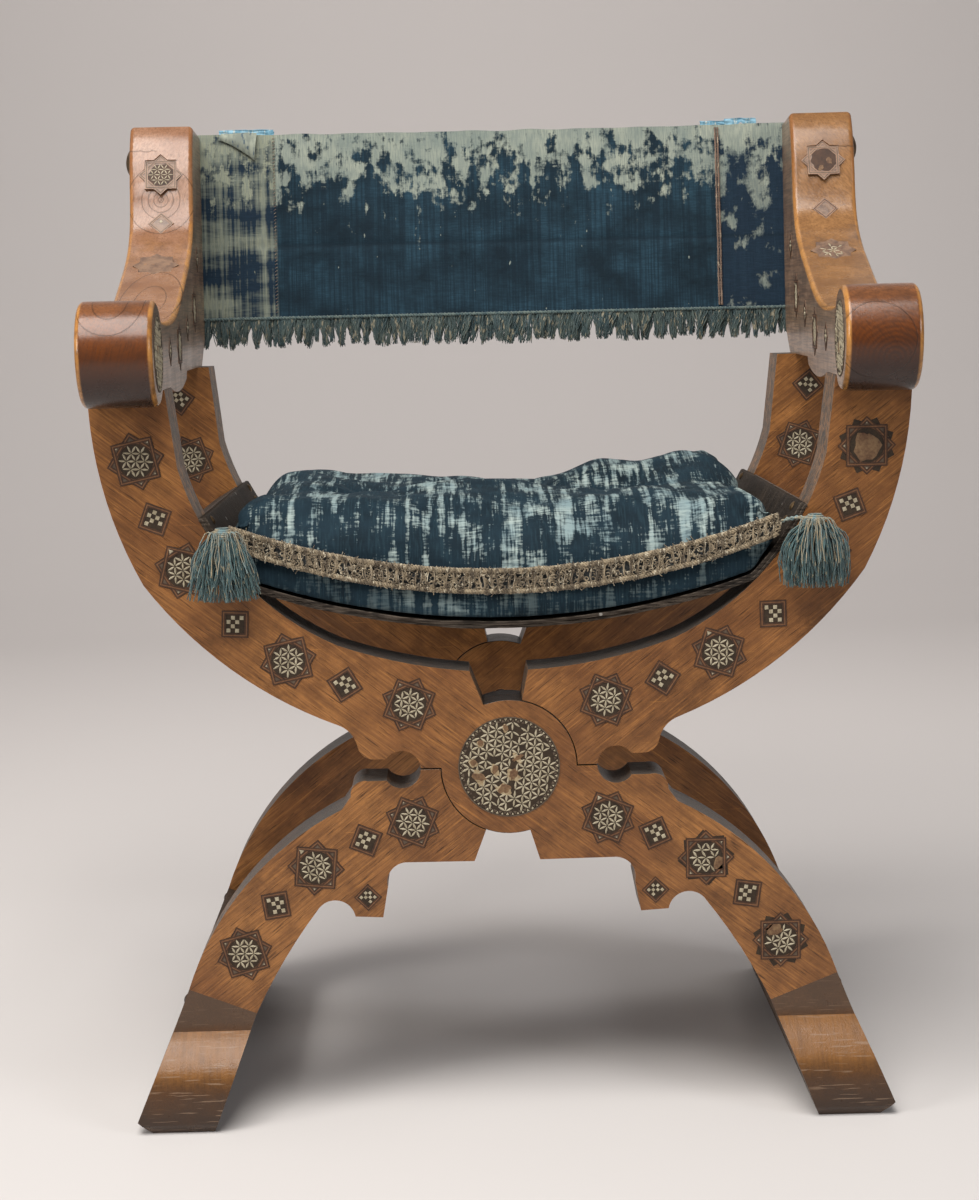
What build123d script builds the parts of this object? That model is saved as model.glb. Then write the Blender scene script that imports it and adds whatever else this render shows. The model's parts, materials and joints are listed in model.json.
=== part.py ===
from build123d import *
import math
import os

# Folding hip-joint armchair: two crossed frames, each of two S-shaped members half-lapped at a round hub.
# Unit A is the left arm, the members that run from upper left to lower right, and the right runner.
# Unit B is its mirror: the right arm, the members from upper right to lower left, and the left runner.
# Millimetres. The front is -Y, +X is the right hand seen from the front, +Z is up, the floor is at zero.

# Frame sizes
frame_spacing = 330.0
member_thick = 50.0
limb_width = 65.0
hub_height = 312.0
hub_radius = 59.0
upper_reach = 349.0
upper_rise = 332.0
leg_reach = 285.0
leg_drop = 192.0
leg_width = 63.0
leg_cut_deg = 21.5
lap_gap = 0.3
arc_gap = 0.4
slit_gap = 0.6
cut_over = 5.0

# Notches above and below the hub, whose walls stop the fold
notch_top = 85.0
notch_bottom = 83.0
notch_top_a_deg = 21.0
notch_top_b_deg = 12.0
notch_bottom_b_deg = 21.0
notch_bottom_a_deg = 17.0

# Keyhole and lobes beside the hub
keyhole_distance = 93.0
keyhole_radius = 16.5
mouth_height = 19.0
lobe_length = 16.0
lobe_round = 12.0
lobe_swell_share = 0.28

# Limb outlines, as shares of reach and rise above the hub, and of reach and drop below it
belly_shares = [(0.258, 0.283), (0.415, 0.331), (0.639, 0.503), (0.791, 0.801)]
back_shares = [(0.977, 0.768), (0.885, 0.5), (0.688, 0.283), (0.424, 0.123)]
cusp_shares = [(0.393, 0.102), (0.374, 0.063)]
shin_shares = [(0.484, 0.12), (0.512, 0.177), (0.779, 0.464)]
calf_shares = [(0.323, 0.43), (0.366, 0.462), (0.379, 0.544), (0.396, 0.684)]
hook_shares = [(0.481, 0.677), (0.533, 0.6), (0.59, 0.63), (0.691, 0.843)]

# Pins through the hubs
pin_radius = 9.0
pin_clear = 0.08
pin_set_back = 4.0

# Arms
knob_radius = 44.0
knob_overhang = 78.0
knob_drop = 13.0
arm_width = 63.0
arm_tail = 428.0
arm_dip = 57.0
arm_tail_rise = 33.0
rear_seat_rise = 10.0
seat_margin = 7.0
bulge_drop = 6.0
bulge_length = 150.0
dip_place = 62.0
chair_height = 894.0
post_top_front = 386.0
post_back_top = 462.0
post_top_slope = 3.0
post_front_shares = [(0.836, 0.804), (0.806, 0.636), (0.596, 0.408), (0.273, 0.244)]
knob_meet_deg = 40.0
left_toe_out_deg = 1.8
right_toe_out_deg = 3.2
arm_round = 5.0

# Tenons, pegs and nails that hold arms and runners to the members
tenon_width = 30.0
tenon_length = 26.0
tenon_shoulder = 10.0
tenon_clear = 0.3
peg_radius = 4.5
peg_cover = 1.0
joint_nail_radius = 2.0
joint_nail_head = 4.5
joint_nail_dome = 1.6

# Runners
runner_toe = 34.0
runner_tail = 12.0
runner_spread = 45.0
foot_bottom_width = 54.0
foot_round = 12.0
joint_straight = 34.0
toe_shares = [(0.0, 0.68), (0.42, 0.585), (0.84, 0.44), (1.0, 0.26), (0.96, 0.07), (0.78, 0.0)]

# Seat rails between the front and rear limbs, under the edge of the sling
rail_thick = 24.0
rail_width = 42.0
rail_tenon = 12.0
rail_place_share = 0.66

# Seat sling of two plies nailed along the limbs' inner edges
sling_top_share = 0.712
sling_leave_share = 0.515
sling_sag_height = 122.3
sling_ply = 3.4
sling_under_ply = 3.0
sling_clear = 0.3
sling_overhang = 2.0
seat_nail_count = 4
seat_nail_edge_share = 0.02
seat_nail_step_share = 0.035
seat_nail_lift = 0.3
seat_nail_radius = 4.5
seat_nail_dome = 2.0
seat_nail_shank = 1.3
nail_hole_clear = 0.4
nail_length = 14.0

# Back sling behind the posts, with its fringe
panel_lift = 56.0
panel_top_drop = 2.0
panel_thick = 4.0
panel_bow = 12.0
panel_gap = 0.3
panel_wrap_share = 0.85
fringe_length = 34.0
back_nail_count = 6
back_nail_radius = 4.0
back_nail_share = 0.5
boss_radius = 18.5
boss_height = 9.0
boss_shank = 4.0
boss_drop = 34.0
boss_inset = 45.0

# Loose cushion with a braid along its front edge and a tassel at each front corner
cushion_width = 470.0
cushion_depth = 372.0
cushion_overhang = 6.0
cushion_crown = 98.0
cushion_edge = 42.0
cushion_edge_lift = 3.0
cushion_corner_rise = 75.0
cushion_tip = 20.0
cushion_tip_crown = 30.0
cushion_draw_in = 9.0
cushion_clear = 0.5
cushion_shares = [0.0, 0.03, 0.12, 0.3, 0.5, 0.7, 0.88, 0.97, 1.0]
tuft_radius = 26.0
tuft_depth = 7.0
tuft_shares = [(0.0, 0.7), (-0.45, 0.5), (0.45, 0.5)]
braid_width = 22.0
braid_thick = 4.0
braid_gap = 0.3
tassel_head_radius = 9.0
tassel_neck_share = 0.7
tassel_length = 56.0
tassel_width = 50.0
tassel_thick = 26.0
tassel_stand = 5.0
tassel_outs = {-1: 2.0, 1: 27.0}
tassel_loop_radius = 2.5
tassel_shares = [(0.12, 0.0, 0.0), (0.35, 0.35, 0.5), (0.7, 0.8, 0.9), (1.0, 1.0, 1.0)]

# Inlaid plaques
plaque_thick = 2.0
plaque_proud = 0.2
plaque_gap = 0.1
star_share = 0.0717
star_inner_share = 0.78
star_points = 8
diamond_share = 0.066
diamond_turn_deg = 45.0
rosette_radius = 44.0
knob_rosette_radius = 32.0
arm_star_radius = 22.0
arm_diamond_side = 18.0
near_star_turn_deg = 22.5
low_star_share = 0.0877
low_diamond_share = 0.0807
hook_diamond_share = 0.06

# Places of the plaques: on a limb, pairs of shares of its inner and outer edges
near_star_shares = (0.2436, 0.1717)
upper_star_shares = [(0.304, 0.238), (0.66, 0.5), (0.831, 0.858)]
upper_star_turns_deg = [8.0, 0.0, -5.0]
upper_diamond_shares = [(0.171, 0.096), (0.542, 0.285), (0.73, 0.69)]
rear_star_shares = [(0.79, 0.79)]
rear_star_turns_deg = [0.0]
rear_diamond_shares = [(0.93, 0.96)]
lower_star_shares = [(0.02, 0.131), (0.623, 0.754)]
lower_star_turns_deg = [13.0, 0.0]
lower_diamond_shares = [(0.121, 0.533)]
near_low_star_shares = (0.298, 0.245)
hook_diamond_shares = (0.441, 0.588)
near_diamond_shares = (0.442, 0.323)

# On an arm, shares of its length and of its height: on the inner side, then on the post with the slope there
arm_side_star_shares = [(0.355, 0.136), (0.738, 0.268)]
arm_side_diamond_shares = [(0.154, 0.124), (0.55, 0.2), (0.86, 0.468)]
post_star_shares = [(0.836, 0.804, 25.0), (0.64, 0.44, 58.0)]
post_diamond_shares = [(0.796, 0.61, 32.0)]

back_reach = post_back_top + panel_gap + panel_thick + panel_bow
front_y = (knob_overhang - back_reach) / 2
rear_y = front_y + frame_spacing
arm_seat_z = hub_height + upper_rise
panel_bottom = arm_seat_z + panel_lift
back_dir = (0, 1, 0)


def outline(start, steps):
    """Face bounded by straight steps (one point), arcs (two points) and smooth curves (more points)."""
    edges = []
    here = Vector(start)
    for step in steps:
        if len(step) > 2:
            edges.append(Spline(here, *[Vector(point) for point in step]))
        elif len(step) == 2:
            edges.append(ThreePointArc(here, Vector(step[0]), Vector(step[1])))
        elif (Vector(step[0]) - here).length > 0:
            edges.append(Line(here, Vector(step[0])))
        here = Vector(step[-1])
    if (here - Vector(start)).length > 0:
        edges.append(Line(here, Vector(start)))
    return Face(Wire(edges))


def front_point(x, z, y):
    return (x, y, hub_height + z)


def rod(radius, start, end):
    """Cylinder from one point to another."""
    run = Vector(end) - Vector(start)
    return Solid.extrude(Face(Wire(Edge.make_circle(radius, Plane(start, z_dir=run)))), run)


def slab(face, depth):
    return extrude(face, amount=depth, dir=back_dir)


def hub_cylinder(radius, y_from, y_to):
    return rod(radius, (0, y_from, hub_height), (0, y_to, hub_height))


def belly_steps(side, wall_deg, y):
    """Inner edge of an upper limb from its notch corner to its top, as two arcs."""
    start = front_point(side * notch_top * math.tan(math.radians(wall_deg)), notch_top, y)
    points = [front_point(side * upper_reach * sx, upper_rise * sz, y) for sx, sz in belly_shares]
    end = Vector(front_point(side * (upper_reach - limb_width), upper_rise, y))
    return start, [(points[0], points[1]), (points[2], points[3])], end


def belly_wire(side, wall_deg, y):
    start, steps, end = belly_steps(side, wall_deg, y)
    first = ThreePointArc(start, *steps[0])
    second = ThreePointArc(steps[0][1], *steps[1])
    return Wire([first, second, Line(steps[1][1], end)])


def back_wire(side, y):
    """Outer edge of an upper limb from its cusp to its top, as two arcs."""
    points = [front_point(side * upper_reach * sx, upper_rise * sz, y) for sx, sz in back_shares]
    top = front_point(side * upper_reach, upper_rise, y)
    return Wire([ThreePointArc(points[3], points[2], points[1]), ThreePointArc(points[1], points[0], top)])


def upper_limb(side, wall_deg, y, rise):
    """Full-thickness upper limb; its hub end runs inside the hub circle."""
    start, steps, end = belly_steps(side, wall_deg, y)
    backs = [front_point(side * upper_reach * sx, upper_rise * sz, y) for sx, sz in back_shares]
    cusp = [front_point(side * upper_reach * sx, upper_rise * sz, y) for sx, sz in cusp_shares]
    half = mouth_height / 2
    chord = math.sqrt(keyhole_radius ** 2 - half ** 2)
    hole = keyhole_distance + chord
    lobe = hole + lobe_length
    swell = lobe_round * lobe_swell_share
    inside = hub_radius / 2
    wall_in = front_point(side * inside * math.tan(math.radians(wall_deg)), inside, y)
    slit = slit_gap / 2
    slit_out = keyhole_distance - math.sqrt(keyhole_radius ** 2 - slit ** 2)
    face = outline(start, [
        steps[0],
        steps[1],
        (end + Vector(0, 0, rise),),
        (front_point(side * upper_reach, upper_rise + rise, y),),
        (front_point(side * upper_reach, upper_rise, y),),
        (backs[0], backs[1]),
        (backs[2], backs[3]),
        (cusp[0], cusp[1]),
        (front_point(side * (lobe + swell), half + swell, y),
         front_point(side * (lobe - lobe_round / 2), half, y)),
        (front_point(side * hole, half, y),),
        (front_point(side * keyhole_distance, keyhole_radius, y), front_point(side * slit_out, slit, y)),
        (front_point(side * inside, slit, y),),
        (wall_in,),
    ])
    return slab(face, member_thick)


def leg_joint(side, y):
    """Outer and inner ends of the slanted joint between leg and runner."""
    outer = Vector(front_point(side * leg_reach, -leg_drop, y))
    slope = math.radians(leg_cut_deg)
    inner = outer + Vector(-side * leg_width * math.cos(slope), 0, -leg_width * math.sin(slope))
    return outer, inner


def shin_wire(side, y):
    """Outer edge of a lower limb, from its lobe to the runner joint."""
    points = [front_point(side * leg_reach * sx, -leg_drop * sz, y) for sx, sz in shin_shares]
    return Wire([ThreePointArc(points[1], points[2], leg_joint(side, y)[0])])


def calf_wire(side, y):
    """Inner edge of a lower limb, from its hook to the runner joint."""
    points = [front_point(side * leg_reach * sx, -leg_drop * sz, y) for sx, sz in hook_shares]
    return Wire([ThreePointArc(points[2], points[3], leg_joint(side, y)[1])])


def lower_limb(side, wall_deg, y):
    """Full-thickness lower limb with its hook; its hub end runs inside the hub circle."""
    half = mouth_height / 2
    chord = math.sqrt(keyhole_radius ** 2 - half ** 2)
    hole = keyhole_distance + chord
    inside = hub_radius / 2
    slit = slit_gap / 2
    slit_out = keyhole_distance - math.sqrt(keyhole_radius ** 2 - slit ** 2)
    tangent = math.tan(math.radians(wall_deg))
    shin = [front_point(side * leg_reach * sx, -leg_drop * sz, y) for sx, sz in shin_shares]
    calf = [front_point(side * leg_reach * sx, -leg_drop * sz, y) for sx, sz in calf_shares]
    hook = [front_point(side * leg_reach * sx, -leg_drop * sz, y) for sx, sz in hook_shares]
    lobe = hole + lobe_length
    swell = lobe_round * lobe_swell_share
    outer, inner = leg_joint(side, y)
    face = outline(front_point(side * inside, -slit, y), [
        (front_point(side * slit_out, -slit, y),),
        (front_point(side * keyhole_distance, -keyhole_radius, y), front_point(side * hole, -half, y)),
        (front_point(side * lobe, -half, y),),
        (front_point(side * (lobe + lobe_round), -half - swell, y), shin[0]),
        (shin[1],),
        (shin[2], outer),
        (inner,),
        (hook[3], hook[2]),
        (hook[1], hook[0]),
        (calf[3],),
        (calf[2],),
        (calf[1], calf[0]),
        (front_point(side * notch_bottom * tangent, -notch_bottom, y),),
        (front_point(side * inside * tangent, -inside, y),),
    ])
    return slab(face, member_thick)


def arm_centre(side):
    return side * (upper_reach - limb_width / 2)


def arm_place(side):
    """Turn of an arm about its front member, which makes the arms spread towards the back."""
    toe = left_toe_out_deg if side < 0 else -right_toe_out_deg
    pivot = (arm_centre(side), front_y + member_thick / 2, 0)
    back = Location(tuple(-value for value in pivot))
    return Location(pivot) * Location((0, 0, 0), (0, 0, toe)) * back


def top_tenon(side, y, rise, clear=0):
    """Tenon on top of a limb, midway between limb and splayed arm, or with a clearance its mortise."""
    centre_y = y + member_thick / 2
    arm_x = (arm_place(side) * Location((arm_centre(side), centre_y, 0))).position.X
    size = (
        tenon_width + 2 * clear,
        member_thick - 2 * tenon_shoulder + 2 * clear,
        tenon_length + clear,
    )
    place = ((arm_centre(side) + arm_x) / 2, centre_y, arm_seat_z + rise)
    return Pos(*place) * Box(*size, align=(Align.CENTER, Align.CENTER, Align.MIN))


def leg_plane(side, y):
    """Plane on the slanted joint, its Z axis pointing down into the runner."""
    outer, inner = leg_joint(side, y)
    middle = (outer + inner) / 2 + Vector(0, member_thick / 2, 0)
    across = (outer - inner).normalized()
    down = across.cross(Vector(back_dir))
    if down.Z > 0:
        down = -down
    return Plane(middle, x_dir=across, z_dir=down)


def leg_tenon(side, y, clear):
    size = (
        tenon_width + 2 * clear,
        member_thick - 2 * tenon_shoulder + 2 * clear,
        tenon_length + clear,
    )
    return leg_plane(side, y) * Box(*size, align=(Align.CENTER, Align.CENTER, Align.MIN))


def rail_plane(side, y):
    """Plane at a seat rail's place on the inner edge: X along the edge, Z out of the limb."""
    wire = belly_wire(side, notch_top_a_deg, y)
    middle = wire.position_at(rail_place_share)
    along = wire.tangent_at(rail_place_share)
    out = Vector(back_dir).cross(along)
    if out.X * side > 0:
        out = -out
    return Plane(middle, x_dir=along, z_dir=out)


def rail(side, clear):
    """Rail between front and rear limbs, its top flush with their inner edges, tenoned into both."""
    y_from = front_y + member_thick
    length = rear_y - y_from
    body = Box(rail_width, length, rail_thick, align=(Align.CENTER, Align.MIN, Align.MAX))
    tenon = Box(
        rail_width / 2 + 2 * clear,
        length + 2 * (rail_tenon + clear),
        rail_thick / 2 + 2 * clear,
    )
    joined = tenon.moved(Location((0, length / 2, -rail_thick / 2)))
    plane = rail_plane(side, y_from)
    sign = 1 if plane.y_dir.Y > 0 else -1
    if sign < 0:
        plane = Plane(plane.origin, x_dir=-plane.x_dir, z_dir=plane.z_dir)
    if clear > 0:
        return plane * joined
    return plane * (body + joined)


def star_face(radius, turn_deg):
    points = []
    for step in range(2 * star_points):
        reach = radius if step % 2 == 0 else radius * star_inner_share
        angle = math.radians(turn_deg + step * 180 / star_points)
        points.append((reach * math.cos(angle), reach * math.sin(angle)))
    return make_face(Polyline(*points, close=True))


def square_face(side_length, turn_deg):
    return Rot(0, 0, turn_deg) * Rectangle(side_length, side_length)


def disc_face(radius, turn_deg):
    return Circle(radius)


def plaque(plane, shape, size, turn_deg):
    """Plaque let into a face, standing a little proud of it; the plane's Z points out of the face."""
    low = plane * Pos(0, 0, plaque_proud - plaque_thick)
    return low * extrude(shape(size, turn_deg), amount=plaque_thick)


def pocket(plane, shape, size, turn_deg):
    depth = plaque_thick - plaque_proud
    low = plane * Pos(0, 0, -depth)
    return low * extrude(shape(size + plaque_gap, turn_deg), amount=depth + cut_over)


def front_plane(x, z, y):
    """Plane on a member's front face."""
    return Plane((x, y, z), x_dir=(1, 0, 0), z_dir=(0, -1, 0))


def limb_places(side, wall_deg, y, shares, lower=False):
    """Middle of a limb at pairs of shares of its inner and outer edges, and its direction there."""
    inner = calf_wire(side, y) if lower else belly_wire(side, wall_deg, y)
    outer = shin_wire(side, y) if lower else back_wire(side, y)
    places = []
    for inner_share, outer_share in shares:
        middle = (inner.position_at(inner_share) + outer.position_at(outer_share)) / 2
        tangent = inner.tangent_at(inner_share)
        places.append((middle.X, middle.Z, math.degrees(math.atan2(tangent.Z, tangent.X))))
    return places


def upper_plaques(side, wall_deg, y, rear):
    """Plane, shape, size and turn of each plaque on an upper limb."""
    stars = rear_star_shares if rear else upper_star_shares
    turns = rear_star_turns_deg if rear else upper_star_turns_deg
    diamonds = rear_diamond_shares if rear else upper_diamond_shares
    star_list = []
    diamond_list = []
    star_size = upper_reach * star_share
    diamond_size = upper_reach * diamond_share
    for (x, z, turn), more in zip(limb_places(side, wall_deg, y, stars), turns):
        star_list.append((front_plane(x, z, y), star_face, star_size, turn + side * more))
    for x, z, turn in limb_places(side, wall_deg, y, diamonds):
        diamond_list.append((front_plane(x, z, y), square_face, diamond_size, turn + diamond_turn_deg))
    if not rear:
        near_x = side * upper_reach * near_star_shares[0]
        near = front_plane(near_x, hub_height + upper_rise * near_star_shares[1], y)
        star_list.append((near, star_face, star_size, near_star_turn_deg))
    return star_list, diamond_list


def lower_plaques(side, y):
    """Plane, shape, size and turn of each plaque on a front lower limb."""
    star_size = leg_reach * low_star_share
    diamond_size = leg_reach * low_diamond_share
    near_x = side * leg_reach * near_low_star_shares[0]
    near = front_plane(near_x, hub_height - leg_drop * near_low_star_shares[1], y)
    star_list = [(near, star_face, star_size, near_star_turn_deg)]
    diamond_list = []
    for (x, z, turn), more in zip(limb_places(side, 0, y, lower_star_shares, True), lower_star_turns_deg):
        star_list.append((front_plane(x, z, y), star_face, star_size, turn + side * more))
    for x, z, turn in limb_places(side, 0, y, lower_diamond_shares, True):
        diamond_list.append((front_plane(x, z, y), square_face, diamond_size, turn + diamond_turn_deg))
    for (share_x, share_z), size, turn in (
        (hook_diamond_shares, leg_reach * hook_diamond_share, diamond_turn_deg),
        (near_diamond_shares, diamond_size, near_star_turn_deg * side),
    ):
        place = front_plane(side * leg_reach * share_x, hub_height - leg_drop * share_z, y)
        diamond_list.append((place, square_face, size, turn))
    return star_list, diamond_list


def dome(plane, radius, height, shank_radius, shank_length):
    """Round-headed nail: a cap standing on the plane, its shank going down."""
    ball = (radius ** 2 + height ** 2) / (2 * height)
    middle = math.asin(radius / ball) / 2
    via = (ball * math.sin(middle), ball * math.cos(middle) - ball + height)
    arc = ThreePointArc((radius, 0), via, (0, height))
    profile = make_face(Wire([Line((0, 0), (radius, 0)), arc, Line((0, height), (0, 0))]))
    cap = revolve(Plane.XZ * profile, Axis.Z)
    shank = Pos(0, 0, -shank_length) * Cylinder(
        shank_radius, shank_length, align=(Align.CENTER, Align.CENTER, Align.MIN))
    return plane * (cap + shank)


def arm_solid(side):
    """Arm and post cut from one plank, with a round knob at its front end."""
    rise = chair_height - arm_seat_z
    rear_seat = arm_seat_z + rear_seat_rise
    x = arm_centre(side) - arm_width / 2
    knob_y = front_y + knob_radius - knob_overhang
    knob_z = arm_seat_z - knob_drop + knob_radius

    def spot(y, z):
        return (x, front_y + y, z)

    def shared(pair):
        return spot(arm_tail * pair[0], arm_seat_z + rise * pair[1])

    bulge_end = member_thick + seat_margin + bulge_length
    meet = math.radians(knob_meet_deg)
    front = [shared(pair) for pair in post_front_shares]
    front.append(spot(dip_place, arm_seat_z + arm_dip))
    front.append((x, knob_y + knob_radius * math.cos(meet), knob_z + knob_radius * math.sin(meet)))
    face = outline((x, knob_y, knob_z), [
        (spot(-seat_margin, arm_seat_z),),
        (spot(member_thick + seat_margin, arm_seat_z),),
        (spot(member_thick + seat_margin + bulge_length / 2, arm_seat_z - bulge_drop),
         spot(bulge_end, arm_seat_z + bulge_drop / 2)),
        (spot(bulge_end + seat_margin, rear_seat),),
        (spot(frame_spacing + member_thick + seat_margin, rear_seat),),
        (spot(arm_tail, arm_seat_z + arm_tail_rise),),
        (spot(post_back_top, chair_height - post_top_slope),),
        (spot(post_top_front, chair_height),),
        tuple(front),
    ])
    plank = extrude(face, amount=arm_width, dir=(1, 0, 0))
    knob = rod(knob_radius, (x, knob_y, knob_z), (x + arm_width, knob_y, knob_z))
    whole = plank + knob
    ends = whole.faces().filter_by(Axis.X).sort_by(Axis.X)
    upper_edges = [
        edge for end in (ends[0], ends[-1]) for edge in end.edges()
        if edge.center().Z > rear_seat + arm_round
    ]
    return fillet(upper_edges, arm_round)


def arm_pegs(side):
    """Wooden pegs across the arm through the two tenons under it."""
    pegs = []
    for y, seat in ((front_y, arm_seat_z), (rear_y, arm_seat_z + rear_seat_rise)):
        height = seat + tenon_length / 2
        middle = y + member_thick / 2
        half = arm_width / 2 - peg_cover
        pegs.append(rod(peg_radius, (arm_centre(side) - half, middle, height),
                        (arm_centre(side) + half, middle, height)))
    return [arm_place(side) * peg for peg in pegs]


def runner_solid(side):
    """Foot beam under the front and rear legs of one side, its front toe bulging forward."""
    outer, inner = leg_joint(side, 0)
    plane = leg_plane(side, 0)
    straight = joint_straight
    out_low = outer + plane.z_dir * straight
    in_low = inner + plane.z_dir * straight
    spread = side * runner_spread
    bottom_out = Vector(outer.X + spread, 0, foot_round)
    bottom_in = Vector(outer.X + spread - side * (foot_bottom_width + foot_round), 0, 0)
    face = outline(outer, [
        (out_low,),
        (bottom_out,),
        (Vector(bottom_out.X - side * foot_round, 0, 0),),
        (bottom_in,),
        (in_low,),
        (inner,),
    ])
    length = frame_spacing + member_thick + runner_toe + runner_tail
    beam = Pos(0, front_y - runner_toe, 0) * extrude(face, amount=length, dir=back_dir)
    top = hub_height - leg_drop + cut_over
    reach = 2 * leg_reach
    x = min(0, side * reach)
    lift = hub_height - leg_drop

    def spot(y, z):
        return (x, front_y + y, z)

    toe = outline(spot(0, top), [
        (spot(0, lift * toe_shares[0][1]),),
        (spot(-runner_toe * toe_shares[1][0], lift * toe_shares[1][1]),
         spot(-runner_toe * toe_shares[2][0], lift * toe_shares[2][1])),
        (spot(-runner_toe, lift * toe_shares[3][1]),
         spot(-runner_toe * toe_shares[4][0], lift * toe_shares[4][1])),
        (spot(-runner_toe * toe_shares[5][0], 0),),
        (spot(frame_spacing + member_thick + runner_tail - foot_round / 2, 0),),
        (spot(frame_spacing + member_thick + runner_tail, foot_round / 2),),
        (spot(frame_spacing + member_thick + runner_tail, top),),
    ])
    return beam & extrude(toe, amount=reach, dir=(1, 0, 0))


def runner_nail_planes(side):
    """Where a nail goes in through the runner's outer side into each leg tenon."""
    planes = []
    for y in (front_y, rear_y):
        outer, inner = leg_joint(side, y)
        plane = leg_plane(side, y)
        place = outer + Vector(0, member_thick / 2, 0) + plane.z_dir * joint_straight / 2
        planes.append(Plane(place, x_dir=plane.z_dir, z_dir=(outer - inner).normalized()))
    return planes


def sling_points(side, gap):
    """Three points of a sling surface along an upper limb, a gap off its inner edge."""
    wire = belly_wire(side, notch_top_a_deg, 0)
    points = []
    for share in (sling_top_share, (sling_top_share + sling_leave_share) / 2, sling_leave_share):
        along = wire.tangent_at(share)
        inward = Vector(back_dir).cross(along)
        if inward.X * side > 0:
            inward = -inward
        points.append(wire.position_at(share) + inward * gap)
    return points


def sling_solid(low_gap, thick):
    """One ply across the seat, from the left limbs' inner edges to the right limbs' edges."""
    y = front_y - sling_overhang
    shift = Vector(0, y, 0)
    left_low = [point + shift for point in sling_points(-1, low_gap)]
    right_low = [point + shift for point in sling_points(1, low_gap)]
    left_high = [point + shift for point in sling_points(-1, low_gap + thick)]
    right_high = [point + shift for point in sling_points(1, low_gap + thick)]
    low = hub_height + sling_sag_height + low_gap
    face = outline(left_low[0], [
        (left_low[1], left_low[2]),
        (Vector(0, y, low), right_low[2]),
        (right_low[1], right_low[0]),
        (right_high[0],),
        (right_high[1], right_high[2]),
        (Vector(0, y, low + thick), left_high[2]),
        (left_high[1], left_high[0]),
    ])
    return extrude(face, amount=frame_spacing + member_thick + 2 * sling_overhang, dir=back_dir)


def seat_nail_planes(side):
    """Nail places on the front and rear limbs' inner edges, on top of the sling."""
    wire = belly_wire(side, notch_top_a_deg, 0)
    planes = []
    stack = sling_clear + sling_ply + sling_under_ply
    for y in (front_y + member_thick / 2, rear_y + member_thick / 2):
        for step in range(seat_nail_count):
            share = sling_top_share - seat_nail_edge_share - step * seat_nail_step_share
            along = wire.tangent_at(share)
            inward = Vector(back_dir).cross(along)
            if inward.X * side > 0:
                inward = -inward
            place = wire.position_at(share) + inward * (stack + seat_nail_lift) + Vector(0, y, 0)
            planes.append(Plane(place, x_dir=back_dir, z_dir=inward))
    return planes


def post_back(side, across_share, height):
    """Point on a post's rear face at a share of its width and at a height."""
    foot = arm_seat_z + arm_tail_rise
    lean = (post_back_top - arm_tail) / (chair_height - post_top_slope - foot)
    y = front_y + arm_tail + (height - foot) * lean
    x = arm_centre(side) + side * arm_width * (across_share - 1 / 2)
    return (arm_place(side) * Location((x, y, height))).position


def back_strip(bottom, top, gap, thick):
    """Cloth strip behind the posts, bowed backwards between them and leaning as they lean."""
    foot = arm_seat_z + arm_tail_rise
    lean = (post_back_top - arm_tail) / (chair_height - post_top_slope - foot)
    left_out = post_back(-1, panel_wrap_share, bottom)
    left_in = post_back(-1, 0, bottom)
    right_in = post_back(1, 0, bottom)
    right_out = post_back(1, panel_wrap_share, bottom)
    near = Vector(0, gap, 0)
    far = Vector(0, gap + thick, 0)
    bow = Vector(0, (left_in.Y + right_in.Y) / 2 + panel_bow, bottom)
    face = outline(left_out + near, [
        (left_in + near,),
        (bow + near, right_in + near),
        (right_out + near,),
        (right_out + far,),
        (right_in + far,),
        (bow + far, left_in + far),
        (left_out + far,),
    ])
    run = Vector(0, lean, 1) * (top - bottom)
    return Solid.extrude(face, run)


def back_nail_planes(side):
    """Nails through the back sling into a post's rear face, one above another."""
    planes = []
    span = chair_height - panel_top_drop - panel_bottom
    for step in range(back_nail_count):
        height = panel_bottom + span * (step + 1 / 2) / back_nail_count
        stack = Vector(0, panel_gap + panel_thick + seat_nail_lift, 0)
        place = post_back(side, back_nail_share, height) + stack
        planes.append(Plane(place, x_dir=(1, 0, 0), z_dir=back_dir))
    return planes


def cushion_fullness(share):
    """One over most of the cushion's depth, rounding off to zero at its front and rear edges."""
    return math.sqrt(1 - (2 * share - 1) ** 4)


def cushion_size(share):
    """Half width, middle thickness and side thickness of the cushion at a share of its depth."""
    crown = cushion_fullness(share)
    draw = 1 - (2 * share - 1) ** 2
    half = cushion_width / 2 - cushion_draw_in * draw
    thick = cushion_edge + (cushion_crown - cushion_edge) * crown
    tip = cushion_tip + (cushion_tip_crown - cushion_tip) * crown
    return half, thick, tip


def cushion_low(share):
    """Height of the cushion's underside at its middle; its front and rear edges lift off the sling."""
    seat = hub_height + sling_sag_height + sling_clear + sling_ply + sling_under_ply + cushion_clear
    return seat + cushion_edge_lift * (1 - cushion_fullness(share))


def cushion_section(share):
    half, thick, tip = cushion_size(share)
    y = front_y - cushion_overhang + cushion_depth * share
    low = cushion_low(share)
    corner = hub_height + sling_sag_height + cushion_corner_rise
    return outline((-half, y, corner), [
        (Vector(0, y, low), Vector(half, y, corner)),
        (Vector(half, y, corner + tip),),
        (Vector(0, y, low + thick), Vector(-half, y, corner + tip)),
    ])


def cushion_top(across, share):
    """Height of the cushion's top at a share of its half width and a share of its depth."""
    half, thick, tip = cushion_size(share)
    corner = hub_height + sling_sag_height + cushion_corner_rise + tip
    middle = cushion_low(share) + thick
    if abs(middle - corner) < cushion_clear:
        return middle
    sag = middle - corner
    radius = (half ** 2 + sag ** 2) / (2 * abs(sag))
    fall = radius - math.sqrt(radius ** 2 - (half * across) ** 2)
    return middle - math.copysign(fall, sag)


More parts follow.
